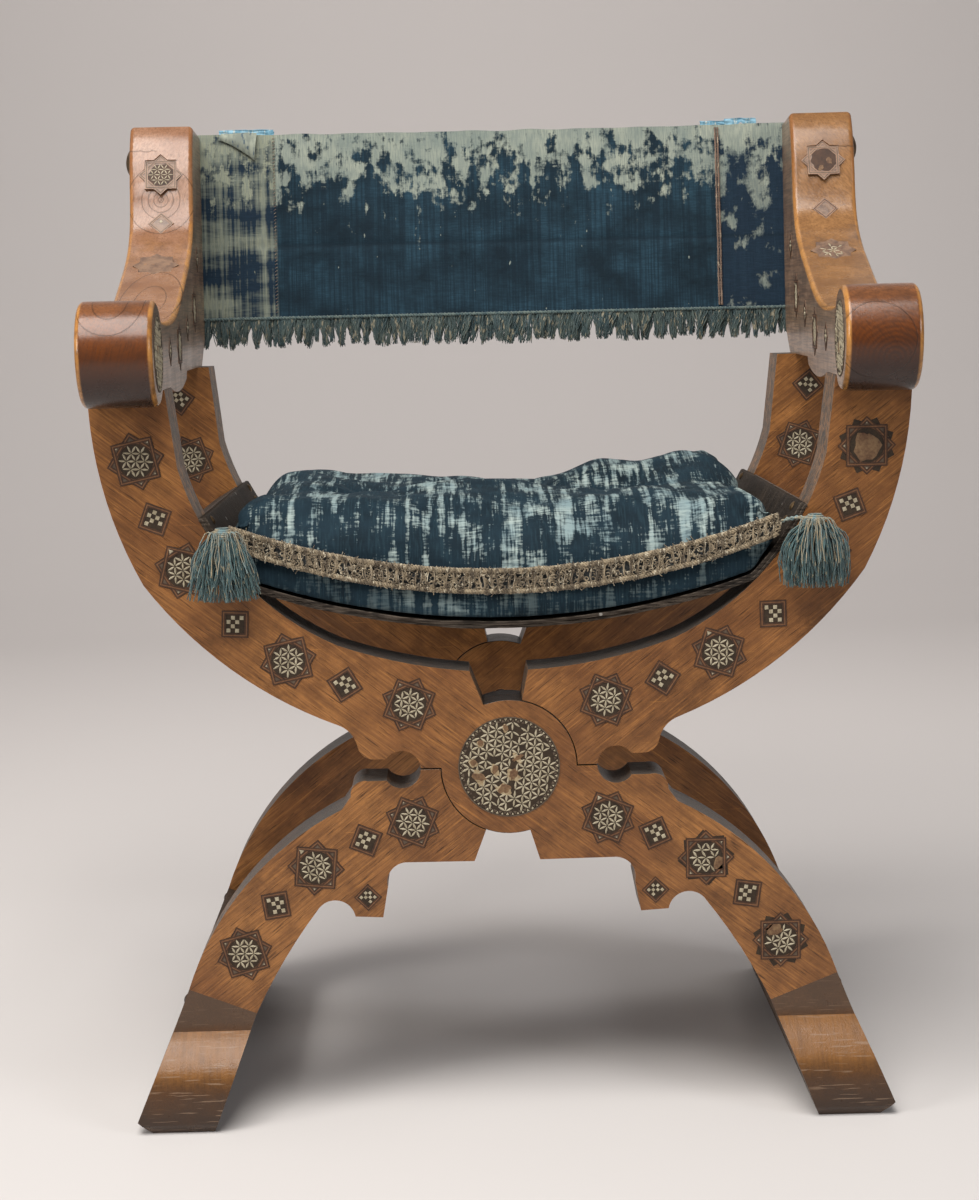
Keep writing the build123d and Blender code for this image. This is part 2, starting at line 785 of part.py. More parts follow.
def cushion_solid():
    body = loft([cushion_section(share) for share in cushion_shares])
    ball = (tuft_radius ** 2 + tuft_depth ** 2) / (2 * tuft_depth)
    for across, share in tuft_shares:
        half = cushion_size(share)[0]
        y = front_y - cushion_overhang + cushion_depth * share
        body -= Pos(half * across, y, cushion_top(across, share) + ball - tuft_depth) * Sphere(ball)
    return body


def braid_solid():
    """Netted braid along the cushion's front edge."""
    half = cushion_size(0)[0]
    y = front_y - cushion_overhang - cushion_clear - braid_thick
    corner = hub_height + sling_sag_height + cushion_corner_rise + cushion_tip / 2
    top = cushion_low(0) + cushion_edge
    drop = cushion_tip / 2
    face = outline((-half, y, corner - drop), [
        (Vector(0, y, top - braid_width), Vector(half, y, corner - drop)),
        (Vector(half, y, corner + drop),),
        (Vector(0, y, top), Vector(-half, y, corner + drop)),
    ])
    return slab(face, braid_thick)


def tassel_solid(side):
    """Tassel hanging from a front corner: a loop, a bound head and a spread skirt, in front of the limb."""
    corner = hub_height + sling_sag_height + cushion_corner_rise + cushion_tip / 2
    x = side * (cushion_size(0)[0] + tassel_outs[side])
    y = front_y - cushion_overhang - cushion_clear - braid_thick - tassel_stand - tassel_head_radius
    head = Pos(x, y, corner) * Sphere(tassel_head_radius)
    neck = tassel_head_radius * tassel_neck_share
    rings = []
    for drop_share, width_share, thick_share in tassel_shares:
        plane = Plane((x, y, corner - tassel_length * drop_share), z_dir=(0, 0, -1))
        width = neck + (tassel_width / 2 - neck) * width_share
        thick = neck + (tassel_thick / 2 - neck) * thick_share
        rings.append(plane * Ellipse(width, thick))
    skirt = loft(rings)
    braid_front = front_y - cushion_overhang - cushion_clear - braid_thick
    loop_y = braid_front - braid_gap - tassel_loop_radius
    loop_end = (side * (cushion_size(0)[0] - tassel_loop_radius), loop_y, corner)
    loop = rod(tassel_loop_radius, (x, y, corner), loop_end) + Pos(*loop_end) * Sphere(tassel_loop_radius)
    return head + skirt + loop


def save(name, *solids):
    """Write a node; several separate solids go in as one group."""
    parts_list = []
    for solid in solids:
        parts_list.extend(solid.solids())
    shape = parts_list[0] if len(parts_list) == 1 else Compound(children=parts_list)
    export_step(shape, f"parts/{name}.step")


def cut_all(solid, cutters):
    for cutter in cutters:
        solid -= cutter
    return solid


def member(unit, rear):
    """One S-shaped member with its half-lap disc, tenons, rail mortise, pin bore and plaque pockets."""
    side = -1 if unit == "a" else 1
    y = rear_y if rear else front_y
    disc_in_front = (unit == "a") != rear
    upper_wall = notch_top_a_deg if disc_in_front else notch_top_b_deg
    lower_wall = notch_bottom_a_deg if disc_in_front else notch_bottom_b_deg
    rise = rear_seat_rise if rear else 0
    lap = y + member_thick / 2
    body = upper_limb(side, upper_wall, y, rise) + lower_limb(-side, lower_wall, y)
    if disc_in_front:
        own = (y, lap - lap_gap / 2)
        other = (lap - lap_gap / 2, y + member_thick + cut_over)
    else:
        own = (lap + lap_gap / 2, y + member_thick)
        other = (y - cut_over, lap + lap_gap / 2)
    bore = pin_radius if unit == "a" else pin_radius + pin_clear
    body -= hub_cylinder(hub_radius + arc_gap, *other)
    body += hub_cylinder(hub_radius, *own)
    body -= hub_cylinder(bore, y - cut_over, y + member_thick + cut_over)
    body += top_tenon(side, y, rise)
    body += leg_tenon(-side, y, 0)
    body -= rail_cut[side]
    stars, diamonds = upper_plaques(side, upper_wall, y, rear)
    if not rear:
        low_stars, low_diamonds = lower_plaques(-side, y)
        stars += low_stars
        diamonds += low_diamonds
    for item in stars + diamonds:
        body -= pocket(*item)
    if not rear and disc_in_front:
        body -= pocket(hub_plane, disc_face, rosette_radius, 0)
    body = cut_all(body, arm_pegs(side))
    body = cut_all(body, [runner_nails[-side][1 if rear else 0]])
    body = cut_all(body, seat_nails[side])
    return body, stars, diamonds


os.makedirs("parts", exist_ok=True)

hub_plane = front_plane(0, hub_height, front_y)
rail_cut = {side: rail(side, tenon_clear) for side in (-1, 1)}
seat_nails = {
    side: [dome(plane, seat_nail_radius, seat_nail_dome, seat_nail_shank, nail_length)
           for plane in seat_nail_planes(side)]
    for side in (-1, 1)
}
runner_nails = {
    side: [dome(plane, joint_nail_head, joint_nail_dome, joint_nail_radius, leg_width / 2)
           for plane in runner_nail_planes(side)]
    for side in (-1, 1)
}

# The four members and what is let into them
for unit in ("a", "b"):
    for rear in (False, True):
        place = "rear" if rear else "front"
        body, stars, diamonds = member(unit, rear)
        save(f"{place}_member_{unit}", body)
        save(f"{place}_stars_{unit}", *[plaque(*item) for item in stars])
        save(f"{place}_diamonds_{unit}", *[plaque(*item) for item in diamonds])
save("front_hub_rosette", plaque(hub_plane, disc_face, rosette_radius, 0))

# Hub pins: the front one ends behind the rosette, the rear one is flush with both faces
save("front_pivot_pin", hub_cylinder(pin_radius, front_y + pin_set_back, front_y + member_thick))
save("rear_pivot_pin", hub_cylinder(pin_radius, rear_y, rear_y + member_thick))

# Arms, runners, rails and their fastenings
for side, word in ((-1, "left"), (1, "right")):
    place = arm_place(side)
    inner_x = arm_centre(side) - side * arm_width / 2
    outer_x = arm_centre(side) + side * arm_width / 2
    knob_y = front_y + knob_radius - knob_overhang
    knob_z = arm_seat_z - knob_drop + knob_radius
    rise = chair_height - arm_seat_z
    side_plane = Plane((inner_x, knob_y, knob_z), x_dir=back_dir, z_dir=(-side, 0, 0))
    rosette_item = (side_plane, disc_face, knob_rosette_radius, 0)
    arm_items = []
    for along, high in arm_side_star_shares:
        spot = (inner_x, front_y + arm_tail * along, arm_seat_z + rise * high)
        plane = Plane(spot, x_dir=back_dir, z_dir=(-side, 0, 0))
        arm_items.append((plane, star_face, arm_star_radius, 0))
    for along, high in arm_side_diamond_shares:
        spot = (inner_x, front_y + arm_tail * along, arm_seat_z + rise * high)
        plane = Plane(spot, x_dir=back_dir, z_dir=(-side, 0, 0))
        arm_items.append((plane, square_face, arm_diamond_side, diamond_turn_deg))
    for shares, shape, size, turn in (
        (post_star_shares, star_face, arm_star_radius, 0),
        (post_diamond_shares, square_face, arm_diamond_side, diamond_turn_deg),
    ):
        for y_share, z_share, slope_deg in shares:
            spot = (arm_centre(side), front_y + arm_tail * y_share, arm_seat_z + rise * z_share)
            slope = math.radians(slope_deg)
            plane = Plane(spot, x_dir=(1, 0, 0), z_dir=(0, -math.cos(slope), math.sin(slope)))
            arm_items.append((plane, shape, size, turn))
    arm = arm_solid(side)
    for item in [rosette_item] + arm_items:
        arm -= pocket(*item)
    boss_y = front_y + post_back_top - boss_inset
    boss_plane = Plane((outer_x, boss_y, chair_height - boss_drop), x_dir=back_dir, z_dir=(side, 0, 0))
    boss = dome(boss_plane, boss_radius, boss_height, boss_shank, nail_length)
    arm -= boss
    arm = place * arm
    for y, seat_rise in ((front_y, 0), (rear_y, rear_seat_rise)):
        arm -= top_tenon(side, y, seat_rise, tenon_clear)
    pegs = arm_pegs(side)
    arm = cut_all(arm, pegs)
    back_nails = [
        dome(plane, back_nail_radius, seat_nail_dome, seat_nail_shank, nail_length + panel_thick)
        for plane in back_nail_planes(side)
    ]
    arm = cut_all(arm, back_nails)
    save(f"{word}_arm", arm)
    save(f"{word}_arm_pegs", *pegs)
    save(f"{word}_arm_plaques", *[place * plaque(*item) for item in arm_items])
    save(f"{word}_knob_rosette", place * plaque(*rosette_item))
    save(f"{word}_post_boss", place * boss)
    save(f"{word}_back_nails", *back_nails)
    save(f"{word}_seat_rail", rail(side, 0))
    save(f"{word}_seat_nails", *seat_nails[side])
    runner = runner_solid(side)
    runner = cut_all(runner, [leg_tenon(side, y, tenon_clear) for y in (front_y, rear_y)])
    runner = cut_all(runner, runner_nails[side])
    save(f"{word}_runner", runner)
    save(f"{word}_runner_nails", *runner_nails[side])

# Seat sling, back sling and fringe, with clear holes round the nails
under_ply = sling_solid(sling_clear, sling_under_ply)
top_ply = sling_solid(sling_clear + sling_under_ply, sling_ply)
for side in (-1, 1):
    holes = [dome(plane, seat_nail_radius, seat_nail_dome, seat_nail_shank + nail_hole_clear, nail_length)
             for plane in seat_nail_planes(side)]
    under_ply = cut_all(under_ply, holes)
    top_ply = cut_all(top_ply, holes)
save("seat_sling", top_ply)
save("seat_under_sling", under_ply)

panel = back_strip(panel_bottom, chair_height - panel_top_drop, panel_gap, panel_thick)
for side in (-1, 1):
    for plane in back_nail_planes(side):
        panel -= dome(plane, back_nail_radius, seat_nail_dome, seat_nail_shank + nail_hole_clear,
                      nail_length + panel_thick)
save("back_sling", panel)
save("back_fringe", back_strip(panel_bottom - fringe_length, panel_bottom, panel_gap, panel_thick))

# Cushion, braid and tassels
save("seat_cushion", cushion_solid())
save("cushion_braid", braid_solid())
save("left_tassel", tassel_solid(-1))
save("right_tassel", tassel_solid(1))
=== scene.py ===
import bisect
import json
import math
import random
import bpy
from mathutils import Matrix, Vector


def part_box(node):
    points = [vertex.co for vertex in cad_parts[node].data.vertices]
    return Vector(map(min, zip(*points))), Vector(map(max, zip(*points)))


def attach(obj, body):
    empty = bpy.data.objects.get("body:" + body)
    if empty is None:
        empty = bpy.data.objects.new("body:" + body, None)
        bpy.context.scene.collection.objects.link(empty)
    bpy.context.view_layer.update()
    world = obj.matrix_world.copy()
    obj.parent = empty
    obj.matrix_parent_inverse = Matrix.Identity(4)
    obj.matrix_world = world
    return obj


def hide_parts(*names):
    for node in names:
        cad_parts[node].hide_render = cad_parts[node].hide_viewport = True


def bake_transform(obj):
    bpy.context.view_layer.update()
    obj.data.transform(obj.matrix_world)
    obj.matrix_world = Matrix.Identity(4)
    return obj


bl_info = {
    "name": "Hip-joint armchair",
    "version": (1, 0, 0),
    "blender": (4, 5, 0),
    "location": "3D Viewport > Sidebar > Armchair",
    "description": "Dresses the folding hip-joint armchair: wood, inlay, leather, velvet, braid and studio",
    "category": "Object",
}

import bmesh
import bpy
from bpy.props import FloatProperty, FloatVectorProperty, PointerProperty
from mathutils import Matrix, Vector, noise
from mathutils.bvhtree import BVHTree

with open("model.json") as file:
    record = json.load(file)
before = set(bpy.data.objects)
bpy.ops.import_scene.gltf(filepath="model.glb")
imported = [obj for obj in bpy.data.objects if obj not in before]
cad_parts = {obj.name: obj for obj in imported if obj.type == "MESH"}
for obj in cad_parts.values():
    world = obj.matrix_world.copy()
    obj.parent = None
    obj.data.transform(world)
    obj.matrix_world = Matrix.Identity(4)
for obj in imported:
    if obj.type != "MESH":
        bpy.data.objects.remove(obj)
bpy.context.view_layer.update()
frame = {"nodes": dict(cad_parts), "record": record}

# Places taken from the frame, in metres
HUB = Vector((0.0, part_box("front_member_a")[0][1], 0.312))
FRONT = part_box("front_member_a")[0][1]
FRONT_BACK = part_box("front_member_a")[1][1]
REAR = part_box("rear_member_a")[0][1]
REAR_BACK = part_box("rear_member_a")[1][1]


# Selecting and making

def deselect():
    if bpy.context.object and bpy.context.object.mode != "OBJECT":
        bpy.ops.object.mode_set(mode="OBJECT")
    bpy.ops.object.select_all(action="DESELECT")


def choose(*pieces):
    """Select these objects alone, the first one active."""
    deselect()
    for piece in pieces:
        piece.select_set(True)
    bpy.context.view_layer.objects.active = pieces[0]


def fix_place(piece):
    """Put a piece's place, turn and size into its mesh."""
    choose(piece)
    bpy.ops.object.transform_apply(location=True, rotation=True, scale=True)


def as_mesh(piece):
    choose(piece)
    bpy.ops.object.convert(target="MESH")
    return bpy.context.object


def joined(name, pieces):
    """Join objects into one named piece."""
    choose(*pieces)
    if len(pieces) > 1:
        bpy.ops.object.join()
    piece = bpy.context.object
    piece.name = name
    piece.data.name = name
    return piece


def copied(piece, matrix):
    """A copy with its own mesh, put at a place."""
    other = piece.copy()
    other.data = piece.data.copy()
    bpy.context.scene.collection.objects.link(other)
    other.data.transform(matrix)
    if matrix.determinant() < 0:
        other.data.flip_normals()
    return other


def dropped(*pieces):
    for piece in pieces:
        data = piece.data
        bpy.data.objects.remove(piece, do_unlink=True)
        if isinstance(data, bpy.types.Mesh) and data.users == 0:
            bpy.data.meshes.remove(data)


def soften(piece, angle=40.0):
    """Smooth shading with large flat faces kept flat."""
    choose(piece)
    bpy.ops.object.shade_smooth_by_angle(angle=math.radians(angle))
    modifier = piece.modifiers.new("flat faces", "WEIGHTED_NORMAL")
    modifier.keep_sharp = True
    bpy.ops.object.modifier_apply(modifier=modifier.name)


def paint(piece, *materials):
    piece.data.materials.clear()
    for material in materials:
        piece.data.materials.append(material)


def carried(piece, body, slot, *nodes):
    """Ride a piece on its body and let it stand for its nodes. The slot is not used."""
    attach(piece, body)
    if nodes:
        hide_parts(*nodes)


def body_of(node):
    for name, nodes in frame["record"]["behaviour"]["bodies"].items():
        if node in nodes:
            return name
    raise RuntimeError("no body holds " + node)


def node_copy(node, name):
    """A merged copy of a frame node's mesh, with its flat faces joined."""
    source = frame["nodes"][node]
    piece = bpy.data.objects.new(name, source.data.copy())
    bpy.context.scene.collection.objects.link(piece)
    piece.data.materials.clear()
    choose(piece)
    bpy.ops.object.mode_set(mode="EDIT")
    bpy.ops.mesh.select_all(action="SELECT")
    bpy.ops.mesh.remove_doubles(threshold=0.00002)
    bpy.ops.mesh.dissolve_limited(angle_limit=math.radians(0.5))
    bpy.ops.object.mode_set(mode="OBJECT")
    if piece.data.has_custom_normals:
        bpy.ops.mesh.customdata_custom_splitnormals_clear()
    return piece


# Materials

def material(name):
    """A new material with its shader; returns the material, its tree and the shader."""
    made = bpy.data.materials.new(name)
    made.use_nodes = True
    tree = made.node_tree
    tree.nodes.clear()
    output = tree.nodes.new("ShaderNodeOutputMaterial")
    shader = tree.nodes.new("ShaderNodeBsdfPrincipled")
    tree.links.new(shader.outputs["BSDF"], output.inputs["Surface"])
    return made, tree, shader


def settled(shader, values):
    """Write fixed values on a shader's inputs."""
    for name, value in values.items():
        shader.inputs[name].default_value = value


def feed(tree, socket, value):
    if isinstance(value, bpy.types.NodeSocket):
        tree.links.new(value, socket)
    else:
        socket.default_value = value


def sum_of(tree, operation, first, second=0.0, third=None, clamp=False):
    node = tree.nodes.new("ShaderNodeMath")
    node.operation = operation
    node.use_clamp = clamp
    feed(tree, node.inputs[0], first)
    feed(tree, node.inputs[1], second)
    if third is not None:
        feed(tree, node.inputs[2], third)
    return node.outputs[0]


def blended(tree, share, first, second, how="MIX"):
    node = tree.nodes.new("ShaderNodeMix")
    node.data_type = "RGBA"
    node.blend_type = how
    feed(tree, node.inputs[0], share)
    feed(tree, node.inputs[6], first)
    feed(tree, node.inputs[7], second)
    return node.outputs[2]


def steps(tree, value, stops, smooth=False):
    """A ramp from (place, grey or colour) stops."""
    node = tree.nodes.new("ShaderNodeValToRGB")
    node.color_ramp.interpolation = "EASE" if smooth else "LINEAR"
    ramp = node.color_ramp.elements
    while len(ramp) < len(stops):
        ramp.new(0.5)
    for element, (place, colour) in zip(ramp, stops):
        element.position = place
        element.color = colour if hasattr(colour, "__len__") else (colour, colour, colour, 1.0)
    feed(tree, node.inputs[0], value)
    return node.outputs[0]


def moved(tree, vector, shift=(0, 0, 0), turn=(0, 0, 0), scale=(1, 1, 1)):
    node = tree.nodes.new("ShaderNodeMapping")
    node.inputs["Location"].default_value = shift
    node.inputs["Rotation"].default_value = [math.radians(value) for value in turn]
    node.inputs["Scale"].default_value = scale
    tree.links.new(vector, node.inputs["Vector"])
    return node.outputs[0]


def clouds(tree, vector, scale, detail=4.0, rough=0.5, distortion=0.0):
    node = tree.nodes.new("ShaderNodeTexNoise")
    node.inputs["Scale"].default_value = scale
    node.inputs["Detail"].default_value = detail
    node.inputs["Roughness"].default_value = rough
    node.inputs["Distortion"].default_value = distortion
    tree.links.new(vector, node.inputs["Vector"])
    return node.outputs["Fac"]


def cells(tree, vector, scale, feature="F1"):
    node = tree.nodes.new("ShaderNodeTexVoronoi")
    node.feature = feature
    node.inputs["Scale"].default_value = scale
    tree.links.new(vector, node.inputs["Vector"])
    return node.outputs["Distance"]


def parts_of(tree, vector):
    node = tree.nodes.new("ShaderNodeSeparateXYZ")
    tree.links.new(vector, node.inputs[0])
    return node.outputs


def place_and_normal(tree):
    node = tree.nodes.new("ShaderNodeTexCoord")
    return node.outputs["Object"], node.outputs["Normal"]


def raise_bump(tree, shader, height, distance, strength=1.0):
    node = tree.nodes.new("ShaderNodeBump")
    node.inputs["Distance"].default_value = distance
    node.inputs["Strength"].default_value = strength
    tree.links.new(height, node.inputs["Height"])
    tree.links.new(node.outputs[0], shader.inputs["Normal"])


def tone(colour, factor=1.0):
    return tuple(channel * factor for channel in colour[:3]) + (1.0,)


def share_of(tree, share, factor):
    return sum_of(tree, "MULTIPLY", share, factor)


def ring_at(tree, place, centre, radius, width):
    """A thin scribed circle on a face that looks along Y."""
    away = parts_of(tree, moved(tree, place, shift=(-centre[0], 0, -centre[1])))
    square = sum_of(tree, "MULTIPLY_ADD", away[2], away[2], sum_of(tree, "MULTIPLY", away[0], away[0]))
    off = sum_of(tree, "ABSOLUTE", sum_of(tree, "SUBTRACT", sum_of(tree, "SQRT", square), radius))
    return steps(tree, sum_of(tree, "MULTIPLY", off, 0.5 / width), [(0.35, 1.0), (1.0, 0.0)])


def wood_grain(tree, place, turn):
    """Noise fields of straight grain: broad bands, fine lines and pores."""
    along = moved(tree, place, turn=turn)
    bands = clouds(tree, moved(tree, along, scale=(3.0, 90.0, 90.0)), 1.0, 5.0, 0.6, 0.4)
    lines = clouds(tree, moved(tree, along, scale=(18.0, 620.0, 620.0)), 1.0, 4.0, 0.65, 0.3)
    pores = clouds(tree, moved(tree, along, scale=(45.0, 900.0, 900.0)), 1.0, 2.0, 0.5)
    return bands, lines, pores


def walnut(name, colours, turn, flat_axis, toe=False):
    """Waxed walnut: grain along one direction, dark side faces, bright worn edges, and upward faces painted
    dark grey as a painted reflection.
    """
    made, tree, shader = material(name)
    place, normal = place_and_normal(tree)
    bands, lines, pores = wood_grain(tree, place, turn)
    light, mid, dark, edge, side = colours
    big = clouds(tree, place, 9.0, 5.0, 0.65)
    patch = clouds(tree, moved(tree, place, shift=(3, 1, 2)), 34.0, 5.0, 0.65)
    fine = clouds(tree, place, 260.0, 2.0)
    body = blended(tree, steps(tree, big, [(0.36, 0.0), (0.64, 1.0)]), mid, light)
    body = blended(tree, share_of(tree, steps(tree, patch, [(0.43, 0.0), (0.64, 1.0)]), 0.52), body, dark)
    body = blended(tree, share_of(tree, steps(tree, bands, [(0.42, 0.0), (0.64, 1.0)]), 0.3), body, dark)
    body = blended(tree, share_of(tree, steps(tree, lines, [(0.44, 0.0), (0.6, 1.0)]), 0.45), body, dark)
    body = blended(tree, steps(tree, lines, [(0.30, 0.4), (0.42, 0.0)]), body, tone(edge, 0.85))
    body = blended(tree, steps(tree, pores, [(0.60, 0.0), (0.70, 0.75)]), body, tone(dark, 0.35))

    lean = sum_of(tree, "ABSOLUTE", parts_of(tree, normal)[flat_axis])
    lean = sum_of(tree, "ADD", lean, sum_of(tree, "MULTIPLY_ADD", fine, 0.1, -0.05))
    grime = clouds(tree, place, 38.0, 5.0, 0.65)
    tracks = clouds(tree, moved(tree, place, scale=(1, 1.6, 1)), 95.0, 4.0, 0.6, 1.6)
    pale = blended(tree, 0.62, side, tone(light, 0.8))
    grimy = blended(tree, steps(tree, tracks, [(0.46, 0.0), (0.56, 1.0)]), pale, tone(side, 0.30))
    grimy = blended(tree, steps(tree, grime, [(0.4, 0.0), (0.62, 0.7)]), grimy, tone(side, 0.45))
    # Faces turned upward go near-black grey: a painted reflection of the dark surroundings on the top faces.
    upward_reflection = steps(tree, parts_of(tree, normal)[2], [(0.35, 0.0), (0.85, 0.85)])
    grimy = blended(tree, upward_reflection, grimy, (0.042, 0.040, 0.037, 1))
    rim = steps(tree, lean, [(0.08, 0.0), (0.3, 1.0), (0.90, 1.0), (0.985, 0.0)])
    worn = clouds(tree, place, 55.0, 4.0, 0.6)
    rim = sum_of(tree, "MULTIPLY", rim, steps(tree, worn, [(0.3, 0.35), (0.55, 1.0)]))
    faces = steps(tree, lean, [(0.2, 0.0), (0.5, 1.0)])
    colour = blended(tree, faces, grimy, body)
    colour = blended(tree, share_of(tree, rim, 0.85), colour, edge)
    smudge = clouds(tree, place, 13.0, 6.0, 0.7)
    colour = blended(tree, steps(tree, smudge, [(0.55, 0.0), (0.72, 0.65)]), colour, tone(dark, 0.6))
    scuffed = moved(tree, place, turn=(0, 27, 0), scale=(22, 240, 420))
    scuff = steps(tree, clouds(tree, scuffed, 1.0, 3.0), [(0.68, 0.0), (0.75, 0.4)])
    colour = blended(tree, scuff, colour, tone(edge, 0.8))
    away = parts_of(tree, moved(tree, place, shift=(0, 0, -HUB.z)))
    square = sum_of(tree, "MULTIPLY_ADD", away[2], away[2], sum_of(tree, "MULTIPLY", away[0], away[0]))
    seam = steps(tree, sum_of(tree, "SQRT", square),
                 [(0.057, 0.0), (0.058, 1.0), (0.0602, 1.0), (0.0608, 0.0)])
    level = steps(tree, sum_of(tree, "ABSOLUTE", away[2]), [(0.0006, 1.0), (0.0014, 0.0)])
    level = sum_of(tree, "MULTIPLY", level, steps(tree, sum_of(tree, "ABSOLUTE", away[0]),
                                                  [(0.08, 1.0), (0.081, 0.0)]))
    tilted = steps(tree, lean, [(0.90, 1.0), (0.97, 0.0)])
    groove = sum_of(tree, "MULTIPLY", sum_of(tree, "MAXIMUM", seam, level), tilted)
    colour = blended(tree, groove, colour, (0.012, 0.008, 0.006, 1))
    if toe:
        colour = toe_wear_and_light(tree, place, normal, colour, grime, edge)
    tree.links.new(colour, shader.inputs["Base Color"])
    rough = sum_of(tree, "MULTIPLY_ADD", bands, 0.3, 0.17)
    rough = sum_of(tree, "ADD", rough, share_of(tree, sum_of(tree, "SUBTRACT", 1.0, faces), 0.16))
    tree.links.new(rough, shader.inputs["Roughness"])
    settled(shader, {"Specular IOR Level": 0.3, "Coat Weight": 0.08, "Coat Roughness": 0.2})
    height = sum_of(tree, "MULTIPLY_ADD", lines, -0.6, share_of(tree, pores, -0.6))
    height = sum_of(tree, "ADD", height, share_of(tree, worn, 0.8))
    height = sum_of(tree, "ADD", height, share_of(tree, sum_of(tree, "MULTIPLY", tracks,
                                                               sum_of(tree, "SUBTRACT", 1.0, faces)), -1.6))
    raise_bump(tree, shader, height, 0.0006, 0.6)
    return made


